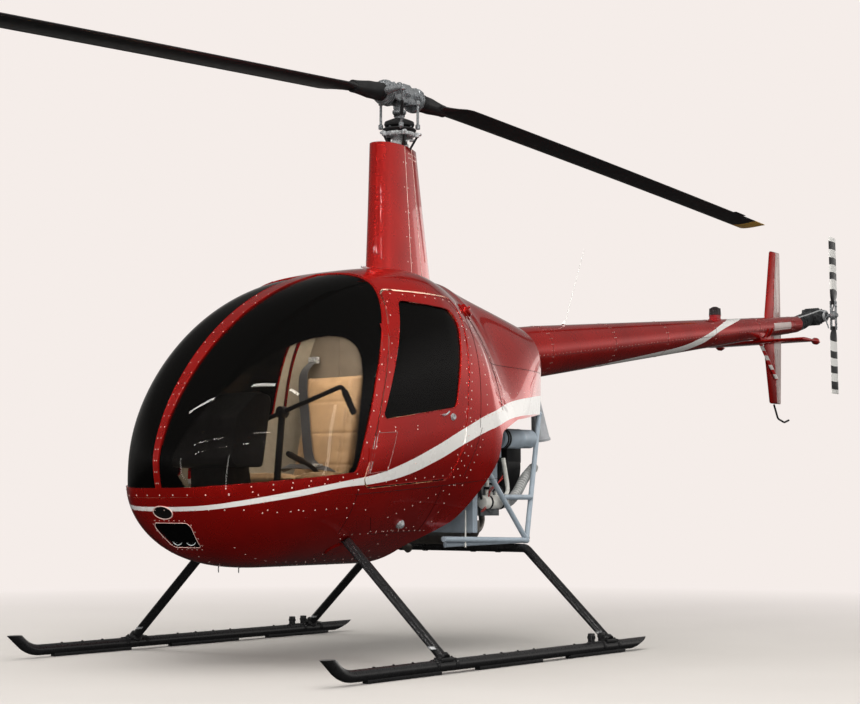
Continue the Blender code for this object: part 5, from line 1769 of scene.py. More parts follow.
# Radii at which the belts run on the pulleys
UPPER_BELT_RADIUS = 0.1125
LOWER_BELT_RADIUS = 0.0775
def build_tube_frame():
    """The steel tubes on both sides of the bay, with welded joints, and the plate ahead of the engine."""
    joint = ((0, FRAME_RADIUS * 1.20), (0.006, FRAME_RADIUS * 1.16), (0.012, FRAME_RADIUS))
    brace = ((0, FRAME_RADIUS * 1.22), (0.006, FRAME_RADIUS * 1.16), (0.012, FRAME_RADIUS))
    for side, word in SIDES:
        rear_low = Vector((side * 0.430, 0.440, 0.505))
        rear_top = Vector((side * 0.262, 0.790, 1.130))
        members = (
            (rear_low, rear_top),
            (Vector((side * 0.430, -0.200, 0.520)), rear_low),
            (Vector((side * 0.400, -0.150, 0.494)), rear_low),
            (Vector((side * 0.430, 0.085, 0.880)), rear_low),
            (Vector((side * 0.430, 0.243, 0.710)), Vector((side * 0.380, 0.547, 0.710))),
            (rear_low, Vector((side * 0.150, 0.440, 0.505))),
            (rear_top, Vector((side * 0.060, 0.800, 1.400))),
        )
        ends = [pair for start, end in members for pair in ((start, end), (end, start))]
        shape = bmesh.new()
        for start, end in members:
            tube_into(shape, (start, end), FRAME_RADIUS, 18)
        for node in (rear_low, rear_top):
            bmesh.ops.create_icosphere(shape, subdivisions=3, radius=FRAME_RADIUS * 1.22,
                                       matrix=Matrix.Translation(node))
            for near, far in ends:
                if (near - node).length < 1e-6:
                    along = (far - near).normalized()
                    lathe_into(shape, near + along * 0.012, along, joint, 18, capped=False)
        for near, far in ends[6:10]:
            along = (far - near).normalized()
            lathe_into(shape, near + along * 0.004, along, brace, 18, capped=False)
        piece("tube_frame_" + word, shape, "root", "frame_paint", "engine_frame_" + word)
        rod = bmesh.new()
        tube_into(rod, ((side * 0.430, -0.038, 0.650), (side * 0.430, -0.038, 0.480)), 0.0035, 10)
        piece("drain_rod_" + word, rod, "root", "cream_plastic")
    shape = bmesh.new()
    box_into(shape, (-0.415, 0.036, 0.545), (0.415, 0.046, 0.950), 0.001)
    for side, _ in SIDES:
        box_into(shape, (side * 0.402 - 0.013, 0.046, 0.545), (side * 0.402 + 0.013, 0.072, 0.950), 0.001)
        for k in range(9):
            rivet_into(shape, [Vector((side * 0.4152, 0.059, 0.570 + 0.045 * k))], [Vector((side, 0, 0))])
    for z in (0.62, 0.72, 0.82):
        tube_into(shape, ((-0.38, 0.048, z), (0.38, 0.048, z)), 0.005, 8)
    piece("bulkhead_plate", shape, "root", "frame_paint", "bay_bulkhead")


def build_engine_detail():
    """The flat four: case, finned cylinders, rocker covers, plugs and leads, sump and mounts."""
    cast = bmesh.new()
    box_into(cast, (-0.150, 0.062, 0.590), (0.150, 0.360, 0.806), 0.016)
    box_into(cast, (-0.112, 0.100, 0.574), (0.112, 0.330, 0.600), 0.008)
    for k in range(9):
        box_into(cast, (-0.146 + 0.036 * k - 0.002, 0.058, 0.62),
                 (-0.146 + 0.036 * k + 0.002, 0.064, 0.79), 0.0008)
    for side in (1, -1):
        for y in CYLINDER_ROWS:
            lathe_into(cast, (side * 0.149, y, CRANK_Z), (side, 0, 0),
                       ((0, 0.070), (0.006, 0.070), (0.006, 0.056), (0.186, 0.056)), 32)
            for k in range(16):
                x = 0.165 + 0.0105 * k
                half = 0.073 if k > 8 else 0.067
                box_into(cast, (side * x - 0.0016, y - half, CRANK_Z - half),
                         (side * x + 0.0016, y + half, CRANK_Z + half), 0.0006)
            box_into(cast, (side * 0.318 - 0.016, y - 0.052, 0.652),
                     (side * 0.318 + 0.016, y + 0.052, 0.762), 0.010)
            for dy in (-0.040, 0.040):
                for dz in (-0.034, 0.050):
                    hex_bolt(cast, (side * 0.3345, y + dy, 0.702 + dz), (side, 0, 0), 0.0045, 0.004)
    piece("engine_case", cast, "root", "engine_cast", "engine", smooth=35)

    dark = bmesh.new()
    for side in (1, -1):
        for y in CYLINDER_ROWS:
            for dz in (-0.045, 0.060):
                plug = Vector((side * 0.285, y - 0.030, 0.700 + dz))
                lathe_into(dark, plug, (side * 0.3, 0, 1 if dz > 0 else -1),
                           ((0, 0.008), (0.014, 0.008), (0.016, 0.006), (0.030, 0.006)), 12)
                end = Vector((side * 0.060, 0.330, 0.840))
                lead = smooth_path((plug + Vector((0, 0, 0.028 if dz > 0 else -0.028)),
                                    plug + Vector((-side * 0.03, 0.02, 0.075)),
                                    Vector((side * 0.17, 0.30, 0.845)), end), 8)
                tube_into(dark, lead, 0.0038, 8)
    box_into(dark, (-0.075, 0.300, 0.812), (0.075, 0.360, 0.878), 0.008)
    lathe_into(dark, (0.0, 0.200, 0.806), UP, ((0, 0.032), (0.030, 0.032), (0.034, 0.028), (0.034, 0)), 24)
    piece("engine_leads", dark, "root", "rubber_black")

    metal = bmesh.new()
    reach, level = 0.300, 0.525
    pipe = arc_path(((-reach, 0.21, 0.600), (-reach, 0.21, level), (reach, 0.21, level),
                     (reach, 0.21, 0.600)), 0.03)
    tube_into(metal, pipe, 0.018, 22)
    lathe_into(metal, (-0.250, 0.21, level), (1, 0, 0),
               ((0, 0.020), (0.004, 0.036), (0.012, 0.040), (0.240, 0.040), (0.250, 0.0425), (0.260, 0.040),
                (0.488, 0.040), (0.496, 0.036), (0.500, 0.020)), 36)
    tube_into(metal, ((-0.200, 0.21, level), (-0.200, 0.320, 0.455)), 0.022, 22)
    for side in (1, -1):
        for y in CYLINDER_ROWS:
            tube_into(metal, smooth_path(((side * 0.270, y, 0.640), (side * 0.276, y, 0.600),
                                          (side * 0.292, (y + 0.21) / 2, 0.565),
                                          (side * 0.300, 0.21, 0.548)), 6), 0.015, 16)
    piece("exhaust_system", metal, "root", "exhaust_metal", "exhaust")


def build_fan():
    """The cooling fan's scroll, its spout and wheel, the engine's pulley, and the drum beside them."""
    shape = bmesh.new()
    angles = [2 * math.pi * k / 72 for k in range(72)]
    rings = []
    for y, scale in ((0.550, 0.93), (0.552, 0.97), (0.560, 1.0), (0.665, 1.0), (0.673, 0.97), (0.675, 0.93),
                     (0.675, 0.60), (0.632, 0.585), (0.632, 0.30)):
        radius = 0.235 * scale
        rings.append([Vector((radius * math.cos(a), y, FAN_Z + radius * math.sin(a))) for a in angles])
    loft_into(shape, rings)
    box_into(shape, (0.070, 0.552, 0.880), (0.234, 0.673, 1.049), 0.006)
    for y, face in ((0.550, -1), (0.675, 1)):
        for k in range(30):
            angle = 2 * math.pi * k / 30
            spot = Vector((0.222 * math.cos(angle), y, FAN_Z + 0.222 * math.sin(angle)))
            if spot.x > 0.06 and spot.z > 0.9:
                continue
            rivet_into(shape, [spot], [Vector((0, face, 0))], 0.004, 0.002)
    lathe_into(shape, (0, 0.360, LOWER_PULLEY_Z), (0, 1, 0), ((0, 0.045), (0.190, 0.045)), 28)
    pulley_into(shape, LOWER_PULLEY_Z, 0.060, 0.078, 0.070, 44)
    piece("fan_housing", shape, "root", "fan_black", "fan_scroll", smooth=40)
    wheel = bmesh.new()
    for k in range(24):
        angle = 2 * math.pi * k / 24
        rows = []
        for r in (0.040, 0.075, 0.105, 0.134):
            lean = angle + (r - 0.04) * 4.0
            rows.append([Vector((r * math.cos(turn), y, FAN_Z + r * math.sin(turn)))
                         for turn, y in ((lean, 0.634), (lean, 0.668), (lean + 0.02, 0.668),
                                         (lean + 0.02, 0.634))])
        loft_into(wheel, rows)
    lathe_into(wheel, (0, 0.628, FAN_Z), (0, 1, 0),
               ((0, 0.042), (0.036, 0.042), (0.046, 0.034), (0.050, 0.018), (0.050, 0)), 28)
    bmesh.ops.recalc_face_normals(wheel, faces=wheel.faces)
    piece("fan_wheel", wheel, "root", "bare_metal")

    drum = bmesh.new()
    start, end = Vector((0.300, 0.395, 0.992)), Vector((0.300, 0.660, 0.998))
    profile = ((0, 0.020), (0.002, 0.040), (0.010, 0.047), (0.150, 0.047), (0.154, 0.049), (0.160, 0.049),
               (0.164, 0.047), (0.255, 0.046), (0.263, 0.038), (0.265, 0.020))
    lathe_into(drum, start, end - start, profile, 40)
    box_into(drum, (0.276, 0.300, 0.7785), (0.288, 0.400, 1.030), 0.002)
    box_into(drum, (0.270, 0.330, 0.900), (0.312, 0.400, 1.025), 0.004)
    piece("drum_body", drum, "root", "frame_paint", "oil_cooler_drum")
    rings = bmesh.new()
    for along in (0.012, 0.030):
        collar_into(rings, start.lerp(end, along / 0.265), end - start, 0.046, 0.051, 0.011, 40)
    tube_into(rings, smooth_path(((0.300, 0.398, 0.955), (0.305, 0.380, 0.900), (0.330, 0.372, 0.860),
                                  (0.340, 0.350, 0.800)), 6), 0.0095, 14)
    tube_into(rings, smooth_path(((0.290, 0.410, 1.040), (0.270, 0.350, 1.060), (0.210, 0.250, 1.010),
                                  (0.150, 0.200, 0.900)), 8), 0.0105, 14)
    piece("drum_bands", rings, "root", "rubber_black")


def build_intake():
    """White pipes, the banded canister and the ribbed hose to the fan."""
    white = bmesh.new()
    rear_pipe = smooth_path(((0.372, 0.330, 0.700), (0.368, 0.372, 0.742), (0.366, 0.362, 0.815),
                             (0.365, 0.342, 0.895)), 8)
    for path in (((0.372, 0.205, 0.690), (0.372, 0.200, 0.870)), rear_pipe):
        tube_into(white, path, 0.0105, 20)
    lathe_into(white, (0.372, 0.160, 0.685), (0, 1, 0.02),
               ((0, 0.014), (0.004, 0.028), (0.014, 0.0325), (0.170, 0.0325), (0.182, 0.028),
                (0.186, 0.018)), 32)
    for y in (0.236, 0.275):
        tube_into(white, ((0.372, y, 0.714), (0.372, y, 0.735)), 0.007, 12)
    piece("intake_white", white, "root", "cream_plastic", "intake_pipes")
    bands = bmesh.new()
    for y in (0.200, 0.292):
        collar_into(bands, (0.372, y, 0.6855), (0, 1, 0.02), 0.032, 0.0345, 0.013, 32)
    for z in (0.745, 0.860):
        collar_into(bands, (0.372, 0.2025, z), UP, 0.0100, 0.0130, 0.013, 20)
    tube_into(bands, smooth_path(((0.372, 0.160, 0.700), (0.380, 0.130, 0.760), (0.350, 0.110, 0.860),
                                  (0.300, 0.120, 0.930)), 8), 0.006, 12)
    tube_into(bands, smooth_path(((0.382, 0.236, 0.735), (0.384, 0.270, 0.760), (0.382, 0.300, 0.755),
                                  (0.376, 0.330, 0.730)), 8), 0.0035, 10)
    piece("intake_bands", bands, "root", "rubber_black")
    wires = bmesh.new()
    for shift in (0.0, 0.012):
        tube_into(wires, smooth_path(((0.384, 0.140 + shift, 0.640), (0.392, 0.175 + shift, 0.675),
                                      (0.390, 0.200, 0.730 + shift), (0.388, 0.260, 0.770),
                                      (0.384, 0.315, 0.800 + shift)), 8), 0.0022, 8)
    piece("thin_wires", wires, "root", "wire_red")
    hose = bmesh.new()
    route = smooth_path(((0.372, 0.335, 0.690), (0.360, 0.400, 0.692), (0.335, 0.500, 0.738),
                         (0.305, 0.600, 0.802), (0.290, 0.705, 0.862)), 66)
    radii = [0.0215 + 0.0038 * math.sin(2 * math.pi * k / 11.0) for k in range(len(route))]
    tube_into(hose, route, radii, 20)
    piece("ribbed_hose", hose, "root", "hose_grey", smooth=80)

    duct = bmesh.new()
    start, end = Vector((0.195, 0.850, 1.225)), Vector((0.200, 0.893, 0.997))
    lathe_into(duct, start, end - start,
               ((0, 0.016), (0.003, 0.022), (0.215, 0.0465), (0.220, 0.0505), (0.230, 0.0505),
                (0.232, 0.046), (0.200, 0.041), (0.020, 0.016)), 36, capped=False)
    tube_into(duct, ((0.195, 0.850, 1.215), (0.191, 0.8070, 1.219)), 0.008, 14)
    piece("rear_funnel", duct, "root", "funnel_grey", "rear_duct")


def pulley_into(shape, z, inner, rim, groove, sides):
    """A pulley with two belt grooves, on the drive's line."""
    rows = ((0, inner), (0.001, rim), (0.006, rim), (0.010, groove), (0.016, rim), (0.022, rim),
            (0.026, groove), (0.032, rim), (0.048, rim), (0.050, inner))
    lathe_into(shape, (0, 0.420, z), (0, 1, 0), rows, sides)


def build_drive():
    """The main gearbox, its shaft and pulley, and the two belts down to the engine's pulley."""
    gear = bmesh.new()
    box_into(gear, (-0.088, -0.063, 1.082), (0.088, 0.138, 1.298), 0.020)
    cone = ((0, 0.080), (0.010, 0.080), (0.014, 0.060), (0.060, 0.040), (0.200, 0.036))
    lathe_into(gear, (0, 0.035, 1.296), UP, cone, 36)
    tube_into(gear, ((0, 0.139, 1.190), (0, 0.600, 1.340)), 0.025, 22)
    pulley_into(gear, UPPER_PULLEY_Z, 0.080, 0.113, 0.104, 60)
    for k in range(8):
        angle = 2 * math.pi * k / 8
        place = (0.070 * math.cos(angle), 0.4195, UPPER_PULLEY_Z + 0.070 * math.sin(angle))
        hex_bolt(gear, place, (0, -1, 0), 0.006, 0.005)
    piece("drive_gearbox", gear, "root", "engine_cast", "main_gearbox", smooth=35)
    belts = bmesh.new()
    lean = math.asin((UPPER_BELT_RADIUS - LOWER_BELT_RADIUS) / (UPPER_PULLEY_Z - LOWER_PULLEY_Z))
    halves = (
        (UPPER_PULLEY_Z, UPPER_BELT_RADIUS, -lean, math.pi + 2 * lean),
        (LOWER_PULLEY_Z, LOWER_BELT_RADIUS, math.pi + lean, math.pi - 2 * lean),
    )
    for y in (0.427, 0.449):
        rings = []
        for z, radius, first, sweep in halves:
            for k in range(34):
                angle = first + sweep * (k / 72 / 0.46)
                ray = Vector((math.cos(angle), 0, math.sin(angle)))
                inner = Vector((0, y, z)) + ray * radius
                outer = Vector((0, y, z)) + ray * (radius + 0.010)
                rings.append([inner, outer + Vector((0, -0.001, 0)), outer + Vector((0, 0.016, 0)),
                              inner + Vector((0, 0.015, 0))])
        loft_into(belts, rings + [rings[0]], capped=False)
    bmesh.ops.remove_doubles(belts, verts=belts.verts, dist=1e-5)
    bmesh.ops.recalc_face_normals(belts, faces=belts.faces)
    piece("rubber_belts", belts, "root", "rubber_black", "drive_belts")


# Cabin

CUSHION = (
    (-0.820, 0.724, 0.03),
    (-0.350, 0.712, 0.02),
    (-0.355, 0.800, 0.03),
    (-0.820, 0.815, 0.03),
)
BACKREST = (
    (-0.340, 0.722, 0.02),
    (-0.250, 0.712, 0.02),
    (-0.120, 1.300, 0.03),
    (-0.205, 1.320, 0.03),
)
PANEL_HEAD = (
    (-1.300, 0.830, 0.04),
    (-1.110, 0.830, 0.02),
    (-1.060, 1.130, 0.03),
    (-1.140, 1.150, 0.03),
    (-1.270, 1.040, 0.06),
)
PEDESTAL = (
    (-1.230, 0.4825, 0.0),
    (-0.985, 0.4825, 0.0),
    (-1.080, 0.720, 0.05),
    (-1.110, 0.900, 0.02),
    (-1.260, 0.900, 0.02),
)
STICK_Y = -0.800
STICK_Z = 1.080
STICK_ARM = 0.352
STICK_RISE = 0.100
# How far the pads start inside the space of their solids, and how far they may swell
PAD_INSET = 0.016
PAD_SWELL = 0.020
PAD_VOXEL = 0.010


def side_prism(shape, outline, low, high, edge=0.0):
    """A block with an outline of (y, z) seen from the side, between two values of x, its edges rounded."""
    block = bmesh.new()
    loft_into(block, [[Vector((x, p.x, p.y)) for p in outline] for x in (low, high)])
    bmesh.ops.recalc_face_normals(block, faces=block.faces)
    if edge:
        bevel_edges(block, edge)
    merge(shape, block)


def padded_mesh(outline, low, high):
    """A pad that fills the outline between two values of x, blown up by a short cloth simulation."""
    shape = bmesh.new()
    side_prism(shape, rounded(outline, -PAD_INSET), low + PAD_INSET, high - PAD_INSET, 0.012)
    made = new_object("pad", shape)
    remesh = made.modifiers.new("remesh", "REMESH")
    remesh.mode = "VOXEL"
    remesh.voxel_size = PAD_VOXEL
    graph = bpy.context.evaluated_depsgraph_get()
    made.data = bpy.data.meshes.new_from_object(made.evaluated_get(graph))
    made.modifiers.clear()
    rest = [v.co.copy() for v in made.data.vertices]
    cloth = made.modifiers.new("cloth", "CLOTH")
    cloth.settings.use_pressure = True
    cloth.settings.uniform_pressure_force = 4.0
    cloth.settings.effector_weights.gravity = 0.0
    cloth.settings.tension_stiffness = 15.0
    cloth.point_cache.frame_start = 1
    cloth.point_cache.frame_end = 20
    for step in range(1, 21):
        bpy.context.scene.frame_set(step)
    graph = bpy.context.evaluated_depsgraph_get()
    blown = bpy.data.meshes.new_from_object(made.evaluated_get(graph))
    made.modifiers.clear()
    for vert, start, swollen in zip(made.data.vertices, rest, blown.vertices):
        move = swollen.co - start
        vert.co = start + move * min(1.0, PAD_SWELL / max(move.length, 1e-9))
    bpy.context.scene.frame_set(1)
    soften = made.modifiers.new("subdivide", "SUBSURF")
    soften.levels = 1
    graph = bpy.context.evaluated_depsgraph_get()
    result = bpy.data.meshes.new_from_object(made.evaluated_get(graph))
    bpy.data.objects.remove(made, do_unlink=True)
    return result


def sew_channels(mesh, along, lines, depth=0.0045):
    """Presses sewn lines into a pad. along is the axis, 0 to 2, that the lines are square to."""
    width = 0.007
    normals = [vert.normal.copy() for vert in mesh.vertices]
    for vert, normal in zip(mesh.vertices, normals):
        press = sum(math.exp(-((vert.co[along] - at) / width) ** 2) for at in lines)
        if press > 0.01:
            vert.co -= normal * depth * min(press, 1.0)


def piping_into(shape, tree, points):
    """A welt that lies on the pad along a route, found by a search tree of the pad."""
    radius = 0.0042
    spots = []
    for point in points:
        place, normal, _, _ = tree.find_nearest(Vector(point))
        spots.append(place + normal * radius * 0.5)
    tube_into(shape, spots, radius, 8)


def build_seats():
    """The four pads with their sewn channels and welts, and the seat belts."""
    for side, word in SIDES:
        low, high = sorted((side * 0.035, side * 0.445))
        for name, outline, replaced in (("seat_pad_", CUSHION, "seat_cushion_"),
                                        ("back_pad_", BACKREST, "seat_back_")):
            mesh = padded_mesh(outline, low, high)
            lines = (low + 0.075, high - 0.075)
            sew_channels(mesh, 0, lines)
            if name == "back_pad_":
                sew_channels(mesh, 2, (0.860, 1.010, 1.160), 0.0035)
            else:
                sew_channels(mesh, 1, (-0.700, -0.585, -0.470), 0.0035)
            tree = BVHTree.FromPolygons([v.co for v in mesh.vertices], [p.vertices for p in mesh.polygons])
            welt = bmesh.new()
            route = divided(rounded(outline, -0.004), 0.02)
            for x in (low + 0.006, high - 0.006):
                piping_into(welt, tree, [(x, p.x, p.y) for p in route + route[:1]])
            pad = piece(name + word, mesh, "root", "leather_tan",
                        replaced + word, smooth=None)
            pad.data.shade_smooth()
            piece(name + "welt_" + word, welt, "root", "leather_tan", smooth=60)
        belts = bmesh.new()
        strap_into(belts, [(high - 0.06 if side > 0 else low + 0.06, -0.360, 0.835),
                           (side * 0.26, -0.500, 0.850), (side * 0.10, -0.420, 0.842),
                           (side * 0.055, -0.350, 0.815)])
        strap_into(belts, [(side * 0.425, -0.140, 1.375), (side * 0.405, -0.235, 1.290),
                           (side * 0.330, -0.300, 1.080), (side * 0.240, -0.370, 0.900),
                           (side * 0.150, -0.420, 0.850)])
        piece("seat_belts_" + word, belts, "root", "belt_web", smooth=60)
        buckle = bmesh.new()
        box_into(buckle, (side * 0.150 - 0.030, -0.455, 0.846),
                 (side * 0.150 + 0.030, -0.400, 0.862), 0.004)
        box_into(buckle, (side * 0.425 - 0.028, -0.150, 1.360),
                 (side * 0.425 + 0.028, -0.128, 1.392), 0.003)
        piece("belt_buckle_" + word, buckle, "root", "bare_metal")


def strap_into(shape, points):
    """A flat strap along a route, its flat side facing up and forward."""
    width, thickness = 0.045, 0.0022
    path = smooth_path(points, 8)
    rings = []
    for i, point in enumerate(path):
        along = (path[min(i + 1, len(path) - 1)] - path[max(i - 1, 0)]).normalized()
        across = along.cross(Vector((0, -0.5, 0.87))).normalized()
        face = across.cross(along)
        rings.append([point + across * (a * width / 2) + face * (b * thickness / 2)
                      for a, b in ((-1, -1), (1, -1), (1, 1), (-1, 1))])
    loft_into(shape, rings)


def trim_inside(shape, inset):
    """Cuts a shape back to what lies inside the pod."""
    return keep(new_object("trim", shape), pod_solid(inset, COWL_END_Y, 40, 24))


def build_walls():
    """The padded wall behind the seats, the head lining and the floor mat."""
    aft = ((-0.352, 0.436), (-0.165, 0.590), (-0.075, 0.800), (-0.075, 1.760))
    rear = [Vector((y - 0.011, z + 0.007)) for y, z in aft]
    front = [Vector((y - 0.0165, z + 0.010)) for y, z in aft]
    shape = bmesh.new()
    side_prism(shape, rear + front[::-1], -1.0, 1.0)
    shape = shape_of(trim_inside(shape, SKIN + 0.004))
    for x in (-0.30, -0.15, 0.0, 0.15, 0.30):
        welt = [(x, p.x - 0.001, p.y) for p in divided(front, 0.05)[:36] if 0.60 < p.y < 1.66]
        tube_into(shape, welt, 0.0028, 6)
    piece("wall_trim", shape, "root", "wall_fabric", smooth=40)

    shape = bmesh.new()
    rings = []
    for y in [-0.560 + 0.030 * k for k in range(16)]:
        roof, _, width, widest, power, _ = (float(v) for v in pod_profile(y, SKIN + 0.003))
        row = []
        for angle in [math.radians(52 + 76 * k / 40) for k in range(41)]:
            x = width * math.copysign(abs(math.cos(angle)) ** (2 / power), math.cos(angle))
            row.append(Vector((x, y, widest + (roof - widest) * abs(math.sin(angle)) ** (2 / power))))
        rings.append(row)
    loft_into(shape, rings, False, False)
    bmesh.ops.solidify(shape, geom=shape.faces[:], thickness=0.004)
    bmesh.ops.recalc_face_normals(shape, faces=shape.faces)
    piece("head_lining", shape, "root", "wall_fabric", smooth=60)

    shape = bmesh.new()
    box_into(shape, (-0.30, -1.24, 0.4822), (0.30, -0.83, 0.4872), 0.002)
    piece("floor_mat", shape_of(trim_inside(shape, SKIN + 0.010)), "root", "carpet_dark")


def dial_into(shapes, centre, across, up, out, radius, turn):
    """One round gauge: bezel, face, ticks, pointer and glass, on a panel with the given axes."""
    bezel, face, marks = shapes
    lathe_into(bezel, centre, out,
               ((0, radius), (0.004, radius), (0.006, radius * 0.95), (0.006, radius * 0.86),
                (0.0025, radius * 0.84)), 28, capped=False)
    lathe_into(face, centre, out, ((0.0005, radius * 0.86), (0.0022, radius * 0.86), (0.0022, 0)),
               24, capped=False)
    for k in range(24):
        angle = math.radians(-135 + 270 * k / 23)
        ray = up * math.cos(angle) + across * math.sin(angle)
        inner = 0.66 if k % 4 == 0 else 0.73
        tube_into(marks, (centre + out * 0.0026 + ray * radius * inner,
                          centre + out * 0.0026 + ray * radius * 0.81), 0.00055, 4)
    ray = up * math.cos(turn) + across * math.sin(turn)
    tube_into(marks, (centre + out * 0.0032 - ray * radius * 0.15,
                      centre + out * 0.0032 + ray * radius * 0.62), [0.0011, 0.0004], 5)
    lathe_into(bezel, centre + out * 0.0026, out, ((0, 0.004), (0.002, 0.0035), (0.002, 0)),
               12, capped=False)


def build_console():
    """The instrument console with its dials, switches, knobs, screws and compass."""
    body = bmesh.new()
    side_prism(body, rounded(PEDESTAL, -0.0005), -0.0995, 0.0995, 0.006)
    side_prism(body, rounded(PANEL_HEAD, -0.0005), -0.1895, 0.1895, 0.007)
    piece("console_body", body, "root", "cabin_black", "instrument_console")
    low, high = Vector((0, -1.110, 0.830)), Vector((0, -1.060, 1.130))
    up = (high - low).normalized()
    across = Vector((-1, 0, 0))
    out = across.cross(up).normalized()
    bezel, face, marks = bmesh.new(), bmesh.new(), bmesh.new()
    places = ((-0.118, 0.232, 0.042), (0.0, 0.232, 0.042), (0.118, 0.232, 0.042), (-0.118, 0.135, 0.042),
              (0.0, 0.135, 0.042), (0.118, 0.135, 0.042), (-0.145, 0.055, 0.024), (-0.085, 0.055, 0.024),
              (0.085, 0.055, 0.024), (0.145, 0.055, 0.024))
    for number, (x, rise, radius) in enumerate(places):
        dial_into((bezel, face, marks), low + up * rise + across * x + out * 0.0005, across, up, out,
                  radius, -2.2 + 0.7 * number)
    label, half = low + up * 0.040 + out * 0.002, Vector((0.050, 0.004, 0.016))
    box_into(bezel, label - half, label + half, 0.002)
    slope_low, slope_high = Vector((0, -0.985, 0.4825)), Vector((0, -1.080, 0.720))
    rise = (slope_high - slope_low).normalized()
    face_out = Vector((0, rise.z, -rise.y))
    for k in range(6):
        spot = slope_low + rise * 0.200 + Vector((-0.070 + 0.028 * k, 0, 0)) + face_out * 0.0005
        lathe_into(marks, spot, face_out,
                   ((0, 0.006), (0.003, 0.006), (0.003, 0.0025), (0.016, 0.0030), (0.017, 0)), 10)
    for k in range(3):
        spot = slope_low + rise * 0.120 + Vector((-0.050 + 0.050 * k, 0, 0))
        lathe_into(bezel, spot, face_out, ((0, 0.015), (0.004, 0.015), (0.014, 0.011), (0.015, 0)), 20)
    piece("dial_bezels", bezel, "root", "dial_rim")
    piece("dial_faces", face, "root", "dial_black")
    piece("dial_marks", marks, "root", "mark_white")
    screws = bmesh.new()
    for x in (-0.178, 0.178):
        for rise_share in (0.020, 0.150, 0.285):
            lathe_into(screws, low + up * rise_share + across * x, out,
                       ((0, 0.0038), (0.0012, 0.0034), (0.0016, 0)), 12)
    compass = Vector((0.0, -1.175, 1.205))
    lathe_into(screws, compass, (0, 1, 0),
               ((-0.024, 0.014), (-0.016, 0.026), (0.014, 0.028), (0.020, 0.024), (0.021, 0)), 28)
    tube_into(screws, ((0, -1.175, 1.150), (0, -1.175, 1.185)), 0.007, 10)
    piece("console_screws", screws, "root", "dial_rim")


def build_controls():
    """Cyclic stick with its cross bar and grips, collective levers and pedals."""
    shape = bmesh.new()
    post = arc_path(((0, -0.845, 0.4825), (0, -0.845, 0.640), (0, STICK_Y, STICK_Z + 0.004)), 0.05)
    tube_into(shape, post, 0.0155, 20)
    arm = Vector((STICK_ARM, 0, STICK_RISE))
    middle = Vector((0, STICK_Y, STICK_Z))
    hang = Vector((0, 0.055, -0.118))
    out = Vector((0.022, 0, 0))
    tube_into(shape, arc_path((middle - arm + hang * 0.25 - out * 0.25, middle - arm, middle + arm,
                               middle + arm + hang * 0.25 + out * 0.25), 0.020), 0.0105, 16)
    lathe_into(shape, middle - Vector((0, 0.022, 0)), (0, 1, 0),
               ((0, 0.020), (0.004, 0.026), (0.040, 0.026), (0.044, 0.020)), 24)
    lathe_into(shape, (0, -0.845, 0.4825), UP,
               ((0, 0.070), (0.010, 0.064), (0.030, 0.045), (0.034, 0.048), (0.055, 0.030), (0.059, 0.033),
                (0.078, 0.018)), 28)
    piece("stick_bar", shape, "root", "cabin_black", "cyclic_stick")
    grips = bmesh.new()
    for sign in (1, -1):
        start = middle + arm * sign + hang * 0.16 + out * 0.16 * sign
        end = middle + arm * sign + hang + out * sign
        path = [start.lerp(end, k / 10) for k in range(11)]
        radii = [0.0115, 0.0150, 0.0150, 0.0138, 0.0148, 0.0138, 0.0148, 0.0138, 0.0148, 0.0150, 0.0120]
        tube_into(grips, path, radii, 18)
        lathe_into(grips, path[1] + Vector((0, -0.012, 0.004)), (0, -1, 0.3),
                   ((0, 0.005), (0.006, 0.005), (0.007, 0.003), (0.007, 0)), 12)
    for place in (0.468, 0.0):
        lever = arc_path(((place, -0.430, 0.735), (place, -0.620, 0.850), (place, -0.765, 0.900)), 0.2)
        tube_into(grips, lever, 0.0098, 16)
        start, end = lever[-2].lerp(lever[-1], 0.15), lever[-1]
        path = [start.lerp(end, k / 8) for k in range(9)]
        tube_into(grips, path, [0.0110, 0.0145, 0.0145, 0.0135, 0.0145, 0.0135, 0.0145, 0.0140, 0.0110], 18)
    piece("control_grips", grips, "root", "rubber_black",
          ("collective_left", "collective_right"))
    for side, word in SIDES:
        shape = bmesh.new()
        low, high = sorted((side * 0.125, side * 0.295))
        tube_into(shape, ((low, -1.110, 0.530), (high, -1.110, 0.530)), 0.0098, 16)
        for x in (side * 0.165, side * 0.255):
            tube_into(shape, ((x, -1.110, 0.530), (x, -1.135, 0.640)), 0.0078, 12)
            box_into(shape, (x - 0.038, -1.148, 0.610), (x + 0.038, -1.127, 0.660), 0.004)
            for k in range(6):
                tube_into(shape, ((x - 0.034, -1.1262, 0.615 + 0.008 * k),
                                  (x + 0.034, -1.1262, 0.615 + 0.008 * k)), 0.0018, 6)
        middle_x = side * 0.210
        box_into(shape, (middle_x - 0.02, -1.125, 0.4825), (middle_x + 0.02, -1.095, 0.535), 0.004)
        piece("pedal_set_" + word, shape, "root", "cabin_black", "pedals_" + word)


